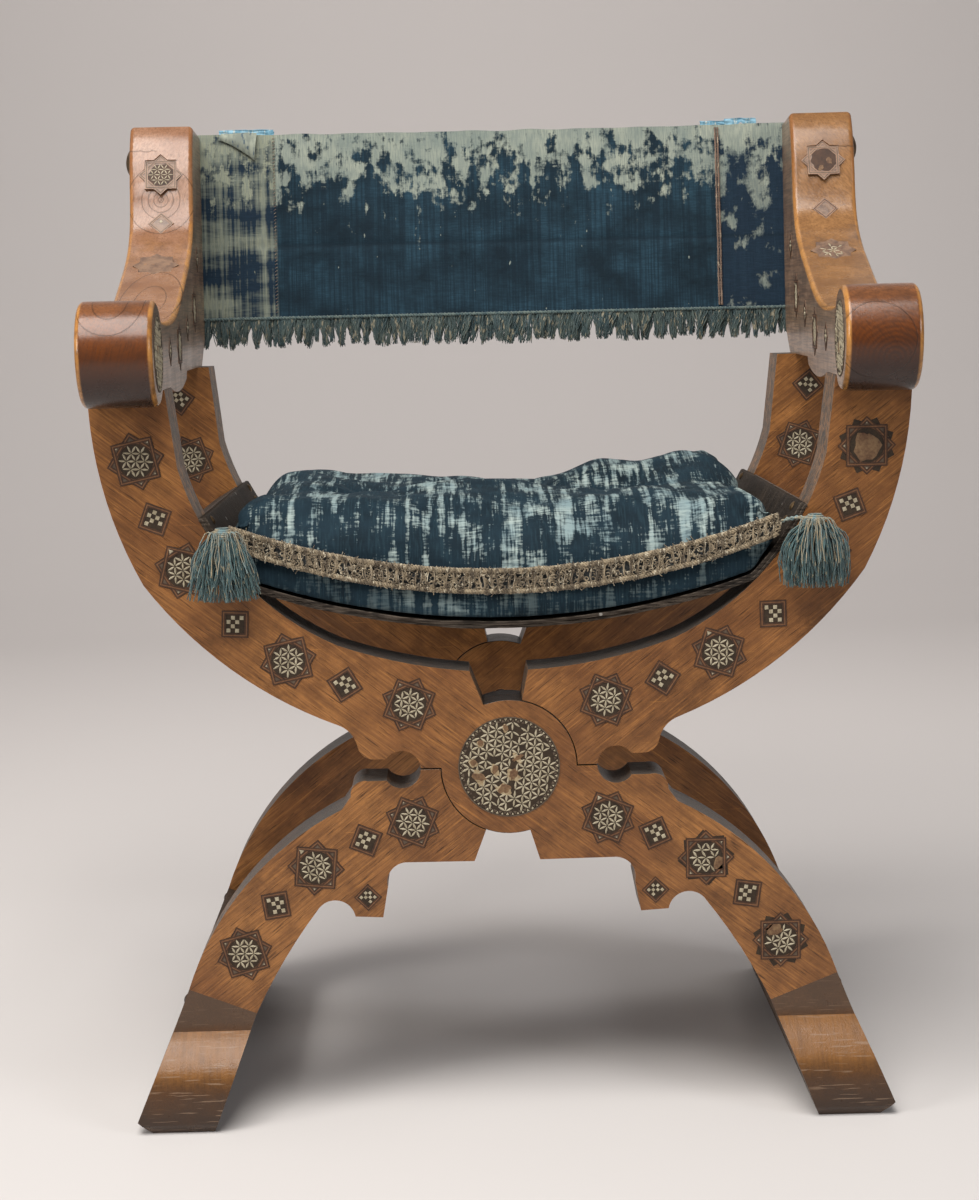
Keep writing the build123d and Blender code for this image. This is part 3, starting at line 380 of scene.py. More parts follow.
def arm_walnut(side, colours):
    """Polished arm wood: pinkish post, red-brown knob with growth rings and painted light from a lit top to a
    shaded bottom, ochre rims and scribed circles.
    """
    made, tree, shader = material(f"walnut arm {side}")
    place, normal = place_and_normal(tree)
    x, y, z = parts_of(tree, place)[:3]
    left = side == "left"
    _, lines, pores = wood_grain(tree, place, (0, 74 if left else -52, 0))
    hatch = clouds(tree, moved(tree, place, turn=(38, 0, 0), scale=(8, 16, 620)), 1.0, 4.0, 0.6)
    dark = colours[2]
    patch = clouds(tree, place, 26.0, 5.0, 0.65)
    worn = clouds(tree, place, 70.0, 5.0, 0.65, 0.6)

    first, second = (((0.31, 0.165, 0.098, 1), (0.22, 0.100, 0.050, 1)) if left
                     else ((0.30, 0.150, 0.058, 1), (0.19, 0.088, 0.032, 1)))
    post = blended(tree, steps(tree, patch, [(0.38, 0.0), (0.62, 1.0)]), first, second)
    post = blended(tree, share_of(tree, steps(tree, lines, [(0.44, 0.0), (0.6, 1.0)]), 0.4), post, dark)
    rough_low = sum_of(tree, "MULTIPLY_ADD", patch, -0.09, z)
    low = steps(tree, rough_low, [(0.712, 1.0), (0.738, 0.0)], True)
    low = sum_of(tree, "MULTIPLY", low, steps(tree, y, [(0.06, 0.15), (0.14, 1.0)]))
    scale_like = blended(tree, steps(tree, worn, [(0.40, 0.0), (0.58, 1.0)]), (0.29, 0.140, 0.048, 1),
                         (0.085, 0.05, 0.030, 1))
    post = blended(tree, share_of(tree, low, 0.85), post, scale_like)

    centre = (-0.3183, 0.7189) if left else (0.3188, 0.6592)
    away = parts_of(tree, moved(tree, place, shift=(-centre[0], 0, -centre[1])))
    square = sum_of(tree, "MULTIPLY_ADD", away[2], away[2], sum_of(tree, "MULTIPLY", away[0], away[0]))
    radius = sum_of(tree, "MULTIPLY_ADD", patch, 0.010, sum_of(tree, "SQRT", square))
    growth = sum_of(tree, "MULTIPLY_ADD", sum_of(tree, "SINE", sum_of(tree, "MULTIPLY", radius, 1500.0)), 0.5,
                    0.5)
    fade = steps(tree, radius, [(0.006, 1.0), (0.044, 0.25)])
    growth = sum_of(tree, "MULTIPLY", growth, 0.12 if left else fade)
    # Knob colour by height, darkest at the bottom: painted shade below and painted light towards the top.
    knob = steps(tree, z, [(0.631, (0.014, 0.007, 0.005, 1)), (0.652, (0.030, 0.010, 0.005, 1)),
                           (0.684, (0.135, 0.038, 0.008, 1)), (0.712, (0.19, 0.070, 0.024, 1))])
    knob = blended(tree, share_of(tree, growth, 0.75), knob, (0.030, 0.012, 0.007, 1))
    knob = blended(tree, share_of(tree, steps(tree, patch, [(0.46, 0.0), (0.66, 1.0)]), 0.5), knob,
                   (0.05, 0.022, 0.012, 1))
    knob = blended(tree, share_of(tree, steps(tree, lines, [(0.46, 0.0), (0.62, 1.0)]), 0.45), knob,
                   (0.04, 0.016, 0.009, 1))
    near = steps(tree, sum_of(tree, "MULTIPLY_ADD", y, -12.0, -2.1), [(0.0, 0.0), (0.4, 1.0)], True)
    colour = blended(tree, near, post, knob)

    flat = sum_of(tree, "ABSOLUTE", parts_of(tree, normal)[0])
    inner = blended(tree, steps(tree, patch, [(0.35, 0.0), (0.65, 1.0)]), (0.33, 0.205, 0.125, 1),
                    (0.20, 0.115, 0.066, 1))
    inner = blended(tree, share_of(tree, steps(tree, hatch, [(0.44, 0.0), (0.58, 1.0)]), 0.6), inner,
                    (0.065, 0.040, 0.027, 1))
    colour = blended(tree, steps(tree, flat, [(0.90, 0.0), (0.985, 1.0)]), colour, inner)
    rim = steps(tree, flat, [(0.10, 0.0), (0.42, 1.0), (0.93, 1.0), (0.99, 0.0)])
    rim = sum_of(tree, "MULTIPLY", rim, steps(tree, worn, [(0.36, 1.0), (0.64, 0.35)]))
    ochre = blended(tree, steps(tree, z, [(0.76, 0.0), (0.86, 1.0)]), (0.47, 0.215, 0.055, 1),
                    (0.25, 0.095, 0.026, 1))
    colour = blended(tree, share_of(tree, rim, 0.92), colour, ochre)

    marks = None
    if left:
        circles = [((-0.3269, 0.8200), size) for size in (0.0026, 0.0072, 0.0125, 0.0190, 0.0335)]
        cracks = [((-0.3183, 0.7189), 0.0145), ((-0.3183, 0.7189), 0.028)]
    else:
        circles = []
        cracks = [((0.3052, 0.6734), 0.031)]
    for middle, size in circles + cracks:
        line = ring_at(tree, place, middle, size, 0.00028)
        marks = line if marks is None else sum_of(tree, "MAXIMUM", marks, line)
    ahead = steps(tree, parts_of(tree, normal)[1], [(0.0, 1.0), (0.001, 0.0)])
    marks = sum_of(tree, "MULTIPLY", marks, ahead)
    crack_z, crack_x, sign = (0.8690, -0.3300, -1.0) if left else (0.8585, 0.3420, 1.0)
    jag = clouds(tree, moved(tree, place, scale=(160, 1, 1)), 1.0, 3.0)
    off = sum_of(tree, "ABSOLUTE", sum_of(tree, "SUBTRACT", sum_of(tree, "MULTIPLY_ADD", jag, 0.006, z),
                                          crack_z + 0.003))
    crack = steps(tree, sum_of(tree, "MULTIPLY", off, 900.0), [(0.25, 1.0), (0.6, 0.0)])
    beyond = sum_of(tree, "MULTIPLY", sum_of(tree, "SUBTRACT", x, crack_x), sign * 400.0)
    crack = sum_of(tree, "MULTIPLY", crack, steps(tree, beyond, [(0.0, 0.0), (1.0, 1.0)]))
    marks = sum_of(tree, "MAXIMUM", marks, crack)
    colour = blended(tree, share_of(tree, marks, 0.5), colour, (0.025, 0.014, 0.009, 1))
    colour = blended(tree, steps(tree, pores, [(0.62, 0.0), (0.72, 0.5)]), colour, tone(dark, 0.5))
    tree.links.new(colour, shader.inputs["Base Color"])
    rough = sum_of(tree, "MULTIPLY_ADD", patch, 0.2, 0.16)
    rough = sum_of(tree, "ADD", rough, share_of(tree, steps(tree, flat, [(0.9, 0.0), (0.985, 1.0)]), 0.12))
    rough = sum_of(tree, "ADD", rough, share_of(tree, low, 0.12))
    tree.links.new(rough, shader.inputs["Roughness"])
    settled(shader, {"Specular IOR Level": 0.25, "Coat Weight": 0.38, "Coat Roughness": 0.2})
    height = sum_of(tree, "MULTIPLY_ADD", share_of(tree, low, 1.4), worn, share_of(tree, patch, 0.8))
    height = sum_of(tree, "SUBTRACT", height, share_of(tree, marks, 0.7))
    height = sum_of(tree, "SUBTRACT", height, share_of(tree, lines, 0.25))
    raise_bump(tree, shader, height, 0.0009, 0.6)
    return made


def toe_wear_and_light(tree, place, normal, colour, grime, edge):
    """Wear and painted light of a foot: painted dark reflection above the ridge, painted highlight along it,
    dark and scratched below.
    """
    z = parts_of(tree, place)[2]
    # Painted dark reflection on the slope above the ridge.
    above = steps(tree, sum_of(tree, "MULTIPLY_ADD", grime, 0.02, z), [(0.086, 0.0), (0.097, 0.85)], True)
    colour = blended(tree, above, colour, (0.070, 0.045, 0.030, 1))
    upward = parts_of(tree, normal)[2]
    # Painted highlight along the ridge where the surface faces up, broken by streaks, in a dimmed worn-edge
    # colour.
    ridge = steps(tree, upward, [(0.12, 0.0), (0.45, 1.0), (0.9, 1.0), (1.0, 0.4)], True)
    wear_lines = clouds(tree, moved(tree, place, scale=(520, 30, 30)), 1.0, 3.0)
    ridge = sum_of(tree, "MULTIPLY", ridge, steps(tree, wear_lines, [(0.38, 0.25), (0.6, 1.0)]))
    low_enough = steps(tree, z, [(0.086, 1.0), (0.095, 0.0)], True)
    ridge = sum_of(tree, "MULTIPLY", ridge, low_enough)
    foot = steps(tree, z, [(0.080, 0.78), (0.092, 0.0)], True)
    colour = blended(tree, foot, colour, (0.075, 0.034, 0.013, 1))
    colour = blended(tree, share_of(tree, ridge, 0.45), colour, tone(edge, 0.42))
    low = sum_of(tree, "MULTIPLY_ADD", grime, 0.06, z)
    worn_low = steps(tree, low, [(0.034, 0.95), (0.092, 0.0)], True)
    colour = blended(tree, worn_low, colour, (0.045, 0.027, 0.018, 1))
    scratched = colour
    for turn, seed in ((34, 0.0), (-28, 4.0), (78, 9.0)):
        across = moved(tree, place, shift=(seed, 0, 0), turn=(0, turn, 0), scale=(26, 200, 520))
        scratch = steps(tree, clouds(tree, across, 1.0, 2.0), [(0.655, 0.0), (0.69, 0.6)])
        scratched = blended(tree, scratch, scratched, (0.26, 0.17, 0.11, 1))
    return blended(tree, steps(tree, z, [(0.06, 1.0), (0.1, 0.25)]), colour, scratched)


# Sizes and colours

class ChairSizes(bpy.types.PropertyGroup):
    edge_wear: FloatProperty(
        name="Edge wear", description="Width of the rounded edges of the members", default=0.0031,
        min=0.0002, max=0.006, unit="LENGTH")
    seam_wear: FloatProperty(
        name="Seam wear", description="Width of the worn edges along the hub's seams", default=0.0008,
        min=0.0001, max=0.002, unit="LENGTH")
    foot_wear: FloatProperty(
        name="Foot wear", description="Width of the rounded edges of the runners", default=0.004,
        min=0.0002, max=0.008, unit="LENGTH")


class ChairColours(bpy.types.PropertyGroup):
    honey: FloatVectorProperty(
        name="Honey", description="Light figure of the walnut", subtype="COLOR", size=4,
        default=(0.345, 0.150, 0.046, 1), min=0, max=1)
    walnut: FloatVectorProperty(
        name="Walnut", description="Middle tone of the walnut", subtype="COLOR", size=4,
        default=(0.200, 0.080, 0.026, 1), min=0, max=1)
    grain: FloatVectorProperty(
        name="Grain", description="Dark grain lines", subtype="COLOR", size=4,
        default=(0.085, 0.033, 0.012, 1), min=0, max=1)
    worn: FloatVectorProperty(
        name="Worn edge", description="Bright worn edges", subtype="COLOR", size=4,
        default=(0.60, 0.26, 0.065, 1), min=0, max=1)
    grime: FloatVectorProperty(
        name="Grime", description="Grey grime on the side faces", subtype="COLOR", size=4,
        default=(0.15, 0.115, 0.085, 1), min=0, max=1)
    backdrop: FloatVectorProperty(
        name="Backdrop", description="Studio paper behind the chair", subtype="COLOR", size=4,
        default=(0.60, 0.56, 0.54, 1), min=0, max=1)
    floor: FloatVectorProperty(
        name="Floor", description="Studio floor", subtype="COLOR", size=4,
        default=(0.60, 0.575, 0.56, 1), min=0, max=1)


def sizes():
    return bpy.context.scene.chair_sizes


def colours():
    return bpy.context.scene.chair_colours


def wood_tones(lighten=1.0):
    palette = colours()
    return (tone(palette.honey, lighten), tone(palette.walnut, lighten), tone(palette.grain, lighten),
            tone(palette.worn), tone(palette.grime))


# Studio

class CHAIR_OT_studio(bpy.types.Operator):
    """Floor, backdrop, soft lights and the camera"""
    bl_idname = "chair.studio"
    bl_label = "Studio"

    def execute(self, context):
        deselect()
        palette = colours()
        bpy.ops.mesh.primitive_plane_add(size=1.0, location=(0, 0, 0))
        sweep = bpy.context.object
        sweep.name = "studio_sweep"
        bpy.ops.object.mode_set(mode="EDIT")
        bpy.ops.transform.resize(value=(14.0, 9.0, 1.0))
        bpy.ops.mesh.select_all(action="DESELECT")
        bpy.ops.object.mode_set(mode="OBJECT")
        for edge in sweep.data.edges:
            edge.select = all(sweep.data.vertices[index].co.y > 4.0 for index in edge.vertices)
        bpy.ops.object.mode_set(mode="EDIT")
        # Rows at the far edge, which are bent up into the backdrop below
        for _ in range(10):
            bpy.ops.mesh.extrude_region_move(TRANSFORM_OT_translate={"value": (0, 0, 0)})
        bpy.ops.object.mode_set(mode="OBJECT")
        rows = sorted({vertex.index for vertex in sweep.data.vertices if vertex.co.y > 4.0})
        for order, index in enumerate(rows):
            step = order // 2
            angle = math.radians(90.0 * min(step, 8) / 8)
            bend = 1.8
            vertex = sweep.data.vertices[index]
            vertex.co.y = 2.6 + bend * math.sin(angle)
            vertex.co.z = bend * (1 - math.cos(angle)) + max(0, step - 8) * 3.2
        bpy.ops.object.shade_smooth()
        made, tree, shader = material("studio paper")
        place, _ = place_and_normal(tree)
        height = parts_of(tree, place)
        far = steps(tree, sum_of(tree, "MULTIPLY_ADD", height[1], 0.22, 0.4), [(0.0, 0.0), (0.95, 1.0)], True)
        colour = blended(tree, far, tuple(palette.floor), tuple(palette.backdrop))
        mottle = clouds(tree, place, 3.0, 2.0)
        colour = blended(tree, sum_of(tree, "MULTIPLY", mottle, 0.05), colour, (0.45, 0.43, 0.42, 1))
        tree.links.new(colour, shader.inputs["Base Color"])
        shader.inputs["Roughness"].default_value = 0.75
        paint(sweep, made)

        for name, spot, aim, power, width, colour in (
            ("overhead", (-0.5, -1.3, 2.9), (0, 0, 0.45), 118.0, 2.0, (1.0, 0.98, 0.95)),
            ("left", (-2.6, -1.6, 1.5), (0, 0, 0.4), 36.0, 1.0, (1.0, 0.97, 0.94)),
            ("right", (2.6, -2.0, 1.7), (0, 0, 0.45), 24.0, 1.0, (0.95, 0.97, 1.0)),
            ("backdrop", (0.0, 1.6, 3.0), (0, 4.0, 1.0), 40.0, 3.0, (1.0, 0.97, 0.95)),
        ):
            lamp = bpy.data.lights.new(name, "AREA")
            lamp.energy = power
            lamp.size = width
            lamp.color = colour
            holder = bpy.data.objects.new(name, lamp)
            bpy.context.scene.collection.objects.link(holder)
            holder.location = spot
            holder.rotation_euler = (Vector(aim) - Vector(spot)).to_track_quat("-Z", "Y").to_euler()

        world = bpy.data.worlds.new("studio")
        world.use_nodes = True
        bpy.context.scene.world = world
        background = world.node_tree.nodes["Background"]
        background.inputs["Color"].default_value = (0.95, 0.96, 1.0, 1)
        background.inputs["Strength"].default_value = 0.16
        bpy.context.scene.view_settings.view_transform = "Standard"

        yaw, pitch, roll, focal = 0.0131284, 0.1369626, 0.0230738, 2126.05
        ahead = Vector((math.sin(yaw) * math.cos(pitch), math.cos(yaw) * math.cos(pitch), -math.sin(pitch)))
        right = Vector((math.cos(yaw), -math.sin(yaw), 0))
        down = ahead.cross(right)
        right_rolled = math.cos(roll) * right + math.sin(roll) * down
        down_rolled = -math.sin(roll) * right + math.cos(roll) * down
        lens = bpy.data.cameras.new("camera")
        camera = bpy.data.objects.new("camera", lens)
        bpy.context.scene.collection.objects.link(camera)
        lens.sensor_fit = "VERTICAL"
        lens.sensor_height = 36.0
        lens.lens = focal / 1200.0 * 36.0
        turn = Matrix((right_rolled, -down_rolled, -ahead)).transposed().to_4x4()
        camera.matrix_world = Matrix.Translation((-0.03738, FRONT - 1.80486, 0.7071)) @ turn
        bpy.context.scene.camera = camera
        return {"FINISHED"}


# Wood

def round_outline(piece, width, low, high, seams=False):
    """Bevel the edges between a member's flat faces and its sides: the outline, or the hub's seams."""
    choose(piece)
    mesh = piece.data
    work = bmesh.new()
    work.from_mesh(mesh)
    work.faces.ensure_lookup_table()
    for edge in work.edges:
        edge.select = False
    for face in work.faces:
        face.select = False
    for edge in work.edges:
        if len(edge.link_faces) != 2:
            continue
        first, second = edge.link_faces
        if abs(first.normal.y) < abs(second.normal.y):
            first, second = second, first
        if abs(first.normal.y) < 0.99 or abs(second.normal.y) > 0.5:
            continue
        spot = (edge.verts[0].co + edge.verts[1].co) / 2
        if min(abs(spot.y - low), abs(spot.y - high)) > 0.0003:
            continue
        if max(vert.co.y for vert in second.verts) - min(vert.co.y for vert in second.verts) < 0.006:
            continue
        off = Vector((spot.x, spot.z - HUB.z))
        at_hub = off.length < 0.0605 or (abs(off.y) < 0.001 and abs(off.x) < 0.08)
        edge.select = at_hub == seams
    work.to_mesh(mesh)
    work.free()
    bpy.ops.object.mode_set(mode="EDIT")
    bpy.ops.mesh.select_mode(type="EDGE")
    bpy.ops.mesh.bevel(offset=width, segments=3, affect="EDGES", clamp_overlap=True)
    bpy.ops.object.mode_set(mode="OBJECT")


class CHAIR_OT_members(bpy.types.Operator):
    """The four S-shaped members with worn edges"""
    bl_idname = "chair.members"
    bl_label = "Members"

    def execute(self, context):
        for unit, slope in (("a", -38.0), ("b", 38.0)):
            woods = walnut(f"walnut member {unit}", wood_tones(), (0, slope, 0), 1)
            for place, low, high in (("front", FRONT, FRONT_BACK), ("rear", REAR, REAR_BACK)):
                node = f"{place}_member_{unit}"
                piece = node_copy(node, f"{place}_frame_{unit}")
                round_outline(piece, sizes().seam_wear, low, high, seams=True)
                round_outline(piece, sizes().edge_wear, low, high)
                soften(piece)
                paint(piece, woods)
                carried(piece, body_of(node), "wood", node)
        return {"FINISHED"}


class CHAIR_OT_arms(bpy.types.Operator):
    """Arms with their knobs and posts, and the pegs in them"""
    bl_idname = "chair.arms"
    bl_label = "Arms"

    def execute(self, context):
        for side in ("left", "right"):
            piece = node_copy(f"{side}_arm", f"{side}_arm_wood")
            soften(piece, 35.0)
            paint(piece, arm_walnut(side, wood_tones(0.92)))
            carried(piece, body_of(f"{side}_arm"), "wood", f"{side}_arm")
        pegs = walnut("peg wood", wood_tones(0.8), (0, 0, 90), 1)
        for side in ("left", "right"):
            paint(frame["nodes"][f"{side}_arm_pegs"], pegs)
        return {"FINISHED"}


class CHAIR_OT_runners(bpy.types.Operator):
    """Runners with rounded toes, and the seat rails"""
    bl_idname = "chair.runners"
    bl_label = "Runners"

    def execute(self, context):
        woods = walnut("walnut runner", wood_tones(0.85), (0, 0, 90), 1, toe=True)
        for side in ("left", "right"):
            piece = node_copy(f"{side}_runner", f"{side}_foot")
            choose(piece)
            bpy.ops.object.mode_set(mode="EDIT")
            bpy.ops.mesh.select_mode(type="EDGE")
            bpy.ops.mesh.select_all(action="DESELECT")
            bpy.ops.object.mode_set(mode="OBJECT")
            work = bmesh.new()
            work.from_mesh(piece.data)
            for edge in work.edges:
                spot = (edge.verts[0].co + edge.verts[1].co) / 2
                sharp = len(edge.link_faces) == 2 and edge.calc_face_angle(0.0) > math.radians(40)
                inside = any(face.calc_area() < 0.0004 and abs(face.normal.y) > 0.9
                             for face in edge.link_faces)
                seam = any(face.normal.z > 0.85 and face.calc_center_median().z > 0.085
                           for face in edge.link_faces)
                hidden = spot.z > 0.085 and FRONT + 0.004 < spot.y < REAR_BACK - 0.004
                edge.select = sharp and not (inside or seam or hidden) and spot.z < 0.122
            for face in work.faces:
                face.select = False
            work.to_mesh(piece.data)
            work.free()
            bpy.ops.object.mode_set(mode="EDIT")
            bpy.ops.mesh.bevel(offset=sizes().foot_wear, segments=3, affect="EDGES", clamp_overlap=True)
            bpy.ops.object.mode_set(mode="OBJECT")
            soften(piece)
            paint(piece, woods)
            carried(piece, body_of(f"{side}_runner"), "dark_wood", f"{side}_runner")
        rails = walnut("rail walnut", wood_tones(0.7), (0, 0, 90), 1)
        for side in ("left", "right"):
            paint(frame["nodes"][f"{side}_seat_rail"], rails)
        return {"FINISHED"}


# Inlay

FINISHES = {}
CHIP_FINISHES = ("dark strip", "mid strip", "bone", "worn patch", "grey wood", "chipped rim", "arm ground")
DARK, MID, BONE, PATCH, GREY, RIM, PALE = range(7)


def inlay_finish(kind):
    """Bone chips, dark strips, mid strips and worn patches, each made once."""
    if kind in FINISHES:
        return FINISHES[kind]
    palette = {
        "bone": ((0.43, 0.375, 0.265, 1), (0.23, 0.185, 0.115, 1), 0.45),
        "dark strip": ((0.066, 0.030, 0.015, 1), (0.030, 0.015, 0.009, 1), 0.6),
        "mid strip": ((0.175, 0.082, 0.036, 1), (0.095, 0.042, 0.020, 1), 0.5),
        "worn patch": ((0.20, 0.120, 0.060, 1), (0.080, 0.036, 0.019, 1), 0.6),
        "grey wood": ((0.115, 0.085, 0.058, 1), (0.060, 0.040, 0.026, 1), 0.6),
        "chipped rim": ((0.38, 0.30, 0.18, 1), (0.20, 0.13, 0.065, 1), 0.55),
        "ground": ((0.040, 0.025, 0.013, 1), (0.020, 0.012, 0.007, 1), 0.7),
        "arm ground": ((0.27, 0.155, 0.095, 1), (0.15, 0.082, 0.050, 1), 0.35),
    }
    first, second, rough = palette[kind]
    made, tree, shader = material("inlay " + kind)
    place, _ = place_and_normal(tree)
    mottle = clouds(tree, place, 420.0, 3.0, 0.6)
    broad = clouds(tree, place, 90.0, 3.0, 0.6)
    share = sum_of(tree, "MULTIPLY_ADD", broad, 0.6, sum_of(tree, "MULTIPLY", mottle, 0.5))
    colour = blended(tree, steps(tree, share, [(0.42, 0.0), (0.72, 1.0)]), first, second)
    tree.links.new(colour, shader.inputs["Base Color"])
    settled(shader, {"Roughness": rough, "Specular IOR Level": 0.3})
    raise_bump(tree, shader, mottle, 0.0003, 0.5)
    FINISHES[kind] = made
    return made


def inlay_slots(piece):
    paint(piece, *(inlay_finish(kind) for kind in CHIP_FINISHES))


def polygon_frame(corners, radius, turn, strips, lift):
    """A thin polygonal frame of nested strips: (width, finish number) from the outside in."""
    deselect()
    bpy.ops.mesh.primitive_circle_add(vertices=corners, radius=radius, fill_type="NGON",
                                      rotation=(0, 0, turn))
    piece = bpy.context.object
    fix_place(piece)
    inlay_slots(piece)
    bpy.ops.object.mode_set(mode="EDIT")
    bpy.ops.mesh.select_all(action="SELECT")
    for width, finish in strips:
        piece.active_material_index = finish
        bpy.ops.object.material_slot_assign()
        bpy.ops.mesh.inset(thickness=width)
    bpy.ops.mesh.delete(type="FACE")
    bpy.ops.mesh.select_all(action="SELECT")
    bpy.ops.mesh.extrude_region_move(TRANSFORM_OT_translate={"value": (0, 0, lift)})
    bpy.ops.mesh.select_all(action="SELECT")
    bpy.ops.mesh.normals_make_consistent(inside=False)
    bpy.ops.object.mode_set(mode="OBJECT")
    return piece


def chip(corners, length, width, lift, finish, crown=0.75):
    """A small flat chip with a chamfered top."""
    deselect()
    bpy.ops.mesh.primitive_circle_add(vertices=corners, radius=0.5, fill_type="NGON",
                                      rotation=(0, 0, -math.pi / 2))
    piece = bpy.context.object
    fix_place(piece)
    inlay_slots(piece)
    bpy.ops.object.mode_set(mode="EDIT")
    bpy.ops.transform.resize(value=(length, width, 1.0), center_override=(0, 0, 0))
    bpy.ops.mesh.extrude_region_move(TRANSFORM_OT_translate={"value": (0, 0, lift)})
    bpy.ops.transform.resize(value=(crown, crown, 1.0), center_override=(0, 0, 0))
    bpy.ops.mesh.select_all(action="SELECT")
    bpy.ops.mesh.normals_make_consistent(inside=False)
    piece.active_material_index = finish
    bpy.ops.object.material_slot_assign()
    bpy.ops.object.mode_set(mode="OBJECT")
    return piece


def lozenge(length, width, lift):
    """A pointed bone lozenge with a ridge along it."""
    leaf = chip(8, 1.0, 1.0, lift, BONE, 0.8)
    for vertex in leaf.data.vertices:
        along = 2 * vertex.co.x
        slim = max(0.0, 1.0 - along * along) ** 0.5 * (0.25 if vertex.co.z > lift / 2 else 1.0)
        vertex.co.x *= length
        vertex.co.y *= width * slim
    return leaf


def flower_lattice(radius, cell, dice, missing, patches=(), turned=0.0):
    """Bone lozenges on the edges of a triangular lattice inside a circle."""
    leaf = lozenge(cell * 0.92, cell * 0.25, 0.00036)
    leaves = []
    reach = int(radius / cell) + 2
    points = [(cell * (i + j / 2), cell * j * math.sqrt(3) / 2)
              for i in range(-2 * reach, 2 * reach + 1) for j in range(-reach, reach + 1)]
    swing = Matrix.Rotation(turned, 4, "Z")
    for x, y in points:
        for angle in (0.0, 60.0, 120.0):
            turn = math.radians(angle)
            spot = swing @ Vector((x + cell / 2 * math.cos(turn), y + cell / 2 * math.sin(turn), 0))
            if spot.length > radius - cell * 0.24 or dice.random() < missing:
                continue
            if any(math.hypot((spot.x - a) / c, (spot.y - b) / d) < 1.0 for a, b, c, d in patches):
                continue
            size = dice.uniform(0.9, 1.04)
            leaves.append(copied(leaf, Matrix.Translation(spot) @
                                 Matrix.Rotation(turned + turn + dice.uniform(-0.05, 0.05), 4, "Z") @
                                 Matrix.Scale(size, 4)))
    dropped(leaf)
    return leaves


def torn_patch(x, y, wide, tall, dice, finish, lift=0.0003):
    """An uneven flat patch where the inlay has come away."""
    patch = chip(15, wide * 2, tall * 2, lift, finish, 0.85)
    uneven = [dice.uniform(0.72, 1.15) for _ in range(15)]
    for vertex in patch.data.vertices:
        share = uneven[vertex.index % 15]
        vertex.co.x *= share
        vertex.co.y *= share
    patch.data.transform(Matrix.Translation((x, y, 0)) @ Matrix.Rotation(dice.uniform(0, 3.1), 4, "Z"))
    return patch


def star_model(seed, bands=(DARK, MID, DARK), tips=True, missing=0.03, patches=()):
    """One eight-pointed star: two interlaced square bands, tips of grey wood and bone, and a flower disc."""
    dice = random.Random(seed)
    parts = []
    if bands:
        strips = tuple(zip((0.0011, 0.0010, 0.0012), bands))
        parts += [
            polygon_frame(4, 0.0250, 0.0, strips, 0.00030),
            polygon_frame(4, 0.0250, math.radians(45), strips, 0.00042),
            polygon_frame(16, 0.0163, 0.0, ((0.0012, bands[1]),), 0.00022),
        ]
    if tips:
        corner = chip(3, 0.0082, 0.0086, 0.00016, GREY, 0.9)
        tip = chip(3, 0.0036, 0.0034, 0.00034, BONE, 0.6)
        for index in range(8):
            turn = Matrix.Rotation(math.radians(45 * index), 4, "Z")
            parts.append(copied(corner, turn @ Matrix.Translation((0.0189, 0, 0))))
            if dice.random() < 0.35:
                continue
            size = 1.7 if dice.random() < 0.14 else dice.uniform(0.45, 0.85)
            parts.append(copied(tip, turn @ Matrix.Translation((0.0193, 0, 0.0001)) @
                                Matrix.Rotation(dice.uniform(-0.4, 0.4), 4, "Z") @ Matrix.Scale(size, 4)))
        dropped(corner, tip)
        sliver = chip(4, 0.0062, 0.00075, 0.0002, RIM, 0.7)
        for _ in range(4):
            edge, along = dice.randrange(8), dice.uniform(-0.010, 0.010)
            turn = Matrix.Rotation(math.radians(45 * edge + 22.5), 4, "Z")
            parts.append(copied(sliver, turn @ Matrix.Translation((0.0181 + dice.uniform(-0.0004, 0.0006),
                                                                   along * 0.3, 0)) @
                                Matrix.Rotation(math.radians(90 + dice.choice((-22.5, 22.5))), 4, "Z")))
        dropped(sliver)
    if bands and not tips:
        parts.append(torn_patch(0, 0, 0.0158, 0.0158, dice, DARK, 0.00012))
    for x, y, wide, tall in patches:
        parts.append(torn_patch(x, y, wide, tall, dice, PATCH))
    parts += flower_lattice(0.0150, 0.0077, dice, missing, patches, math.radians(15 * dice.randrange(4)))
    return joined("star", parts)


def diamond_model(seed, side=0.023, bands=(DARK, MID), keep=()):
    """One square with a strip frame and a checker of bone squares."""
    dice = random.Random(seed)
    scale = side / 0.023
    parts = [polygon_frame(4, side / math.sqrt(2), 0.0,
                           ((0.0012, bands[0]), (0.0010, bands[1]), (0.0014, bands[0])),
                           0.00032)]
    square = chip(4, 0.0034 * scale * math.sqrt(2), 0.0034 * scale * math.sqrt(2), 0.00034, BONE, 0.86)
    step = 0.0037 * scale
    for row in range(4):
        for column in range(4):
            if (row, column) not in keep if keep else (row + column) % 2 or dice.random() < 0.06:
                continue
            spot = Matrix.Translation(((column - 1.5) * step, (row - 1.5) * step, 0))
            parts.append(copied(square, Matrix.Rotation(math.radians(45), 4, "Z") @ spot @
                                Matrix.Rotation(math.radians(45), 4, "Z")))
    dropped(square)
    return joined("diamond", parts)


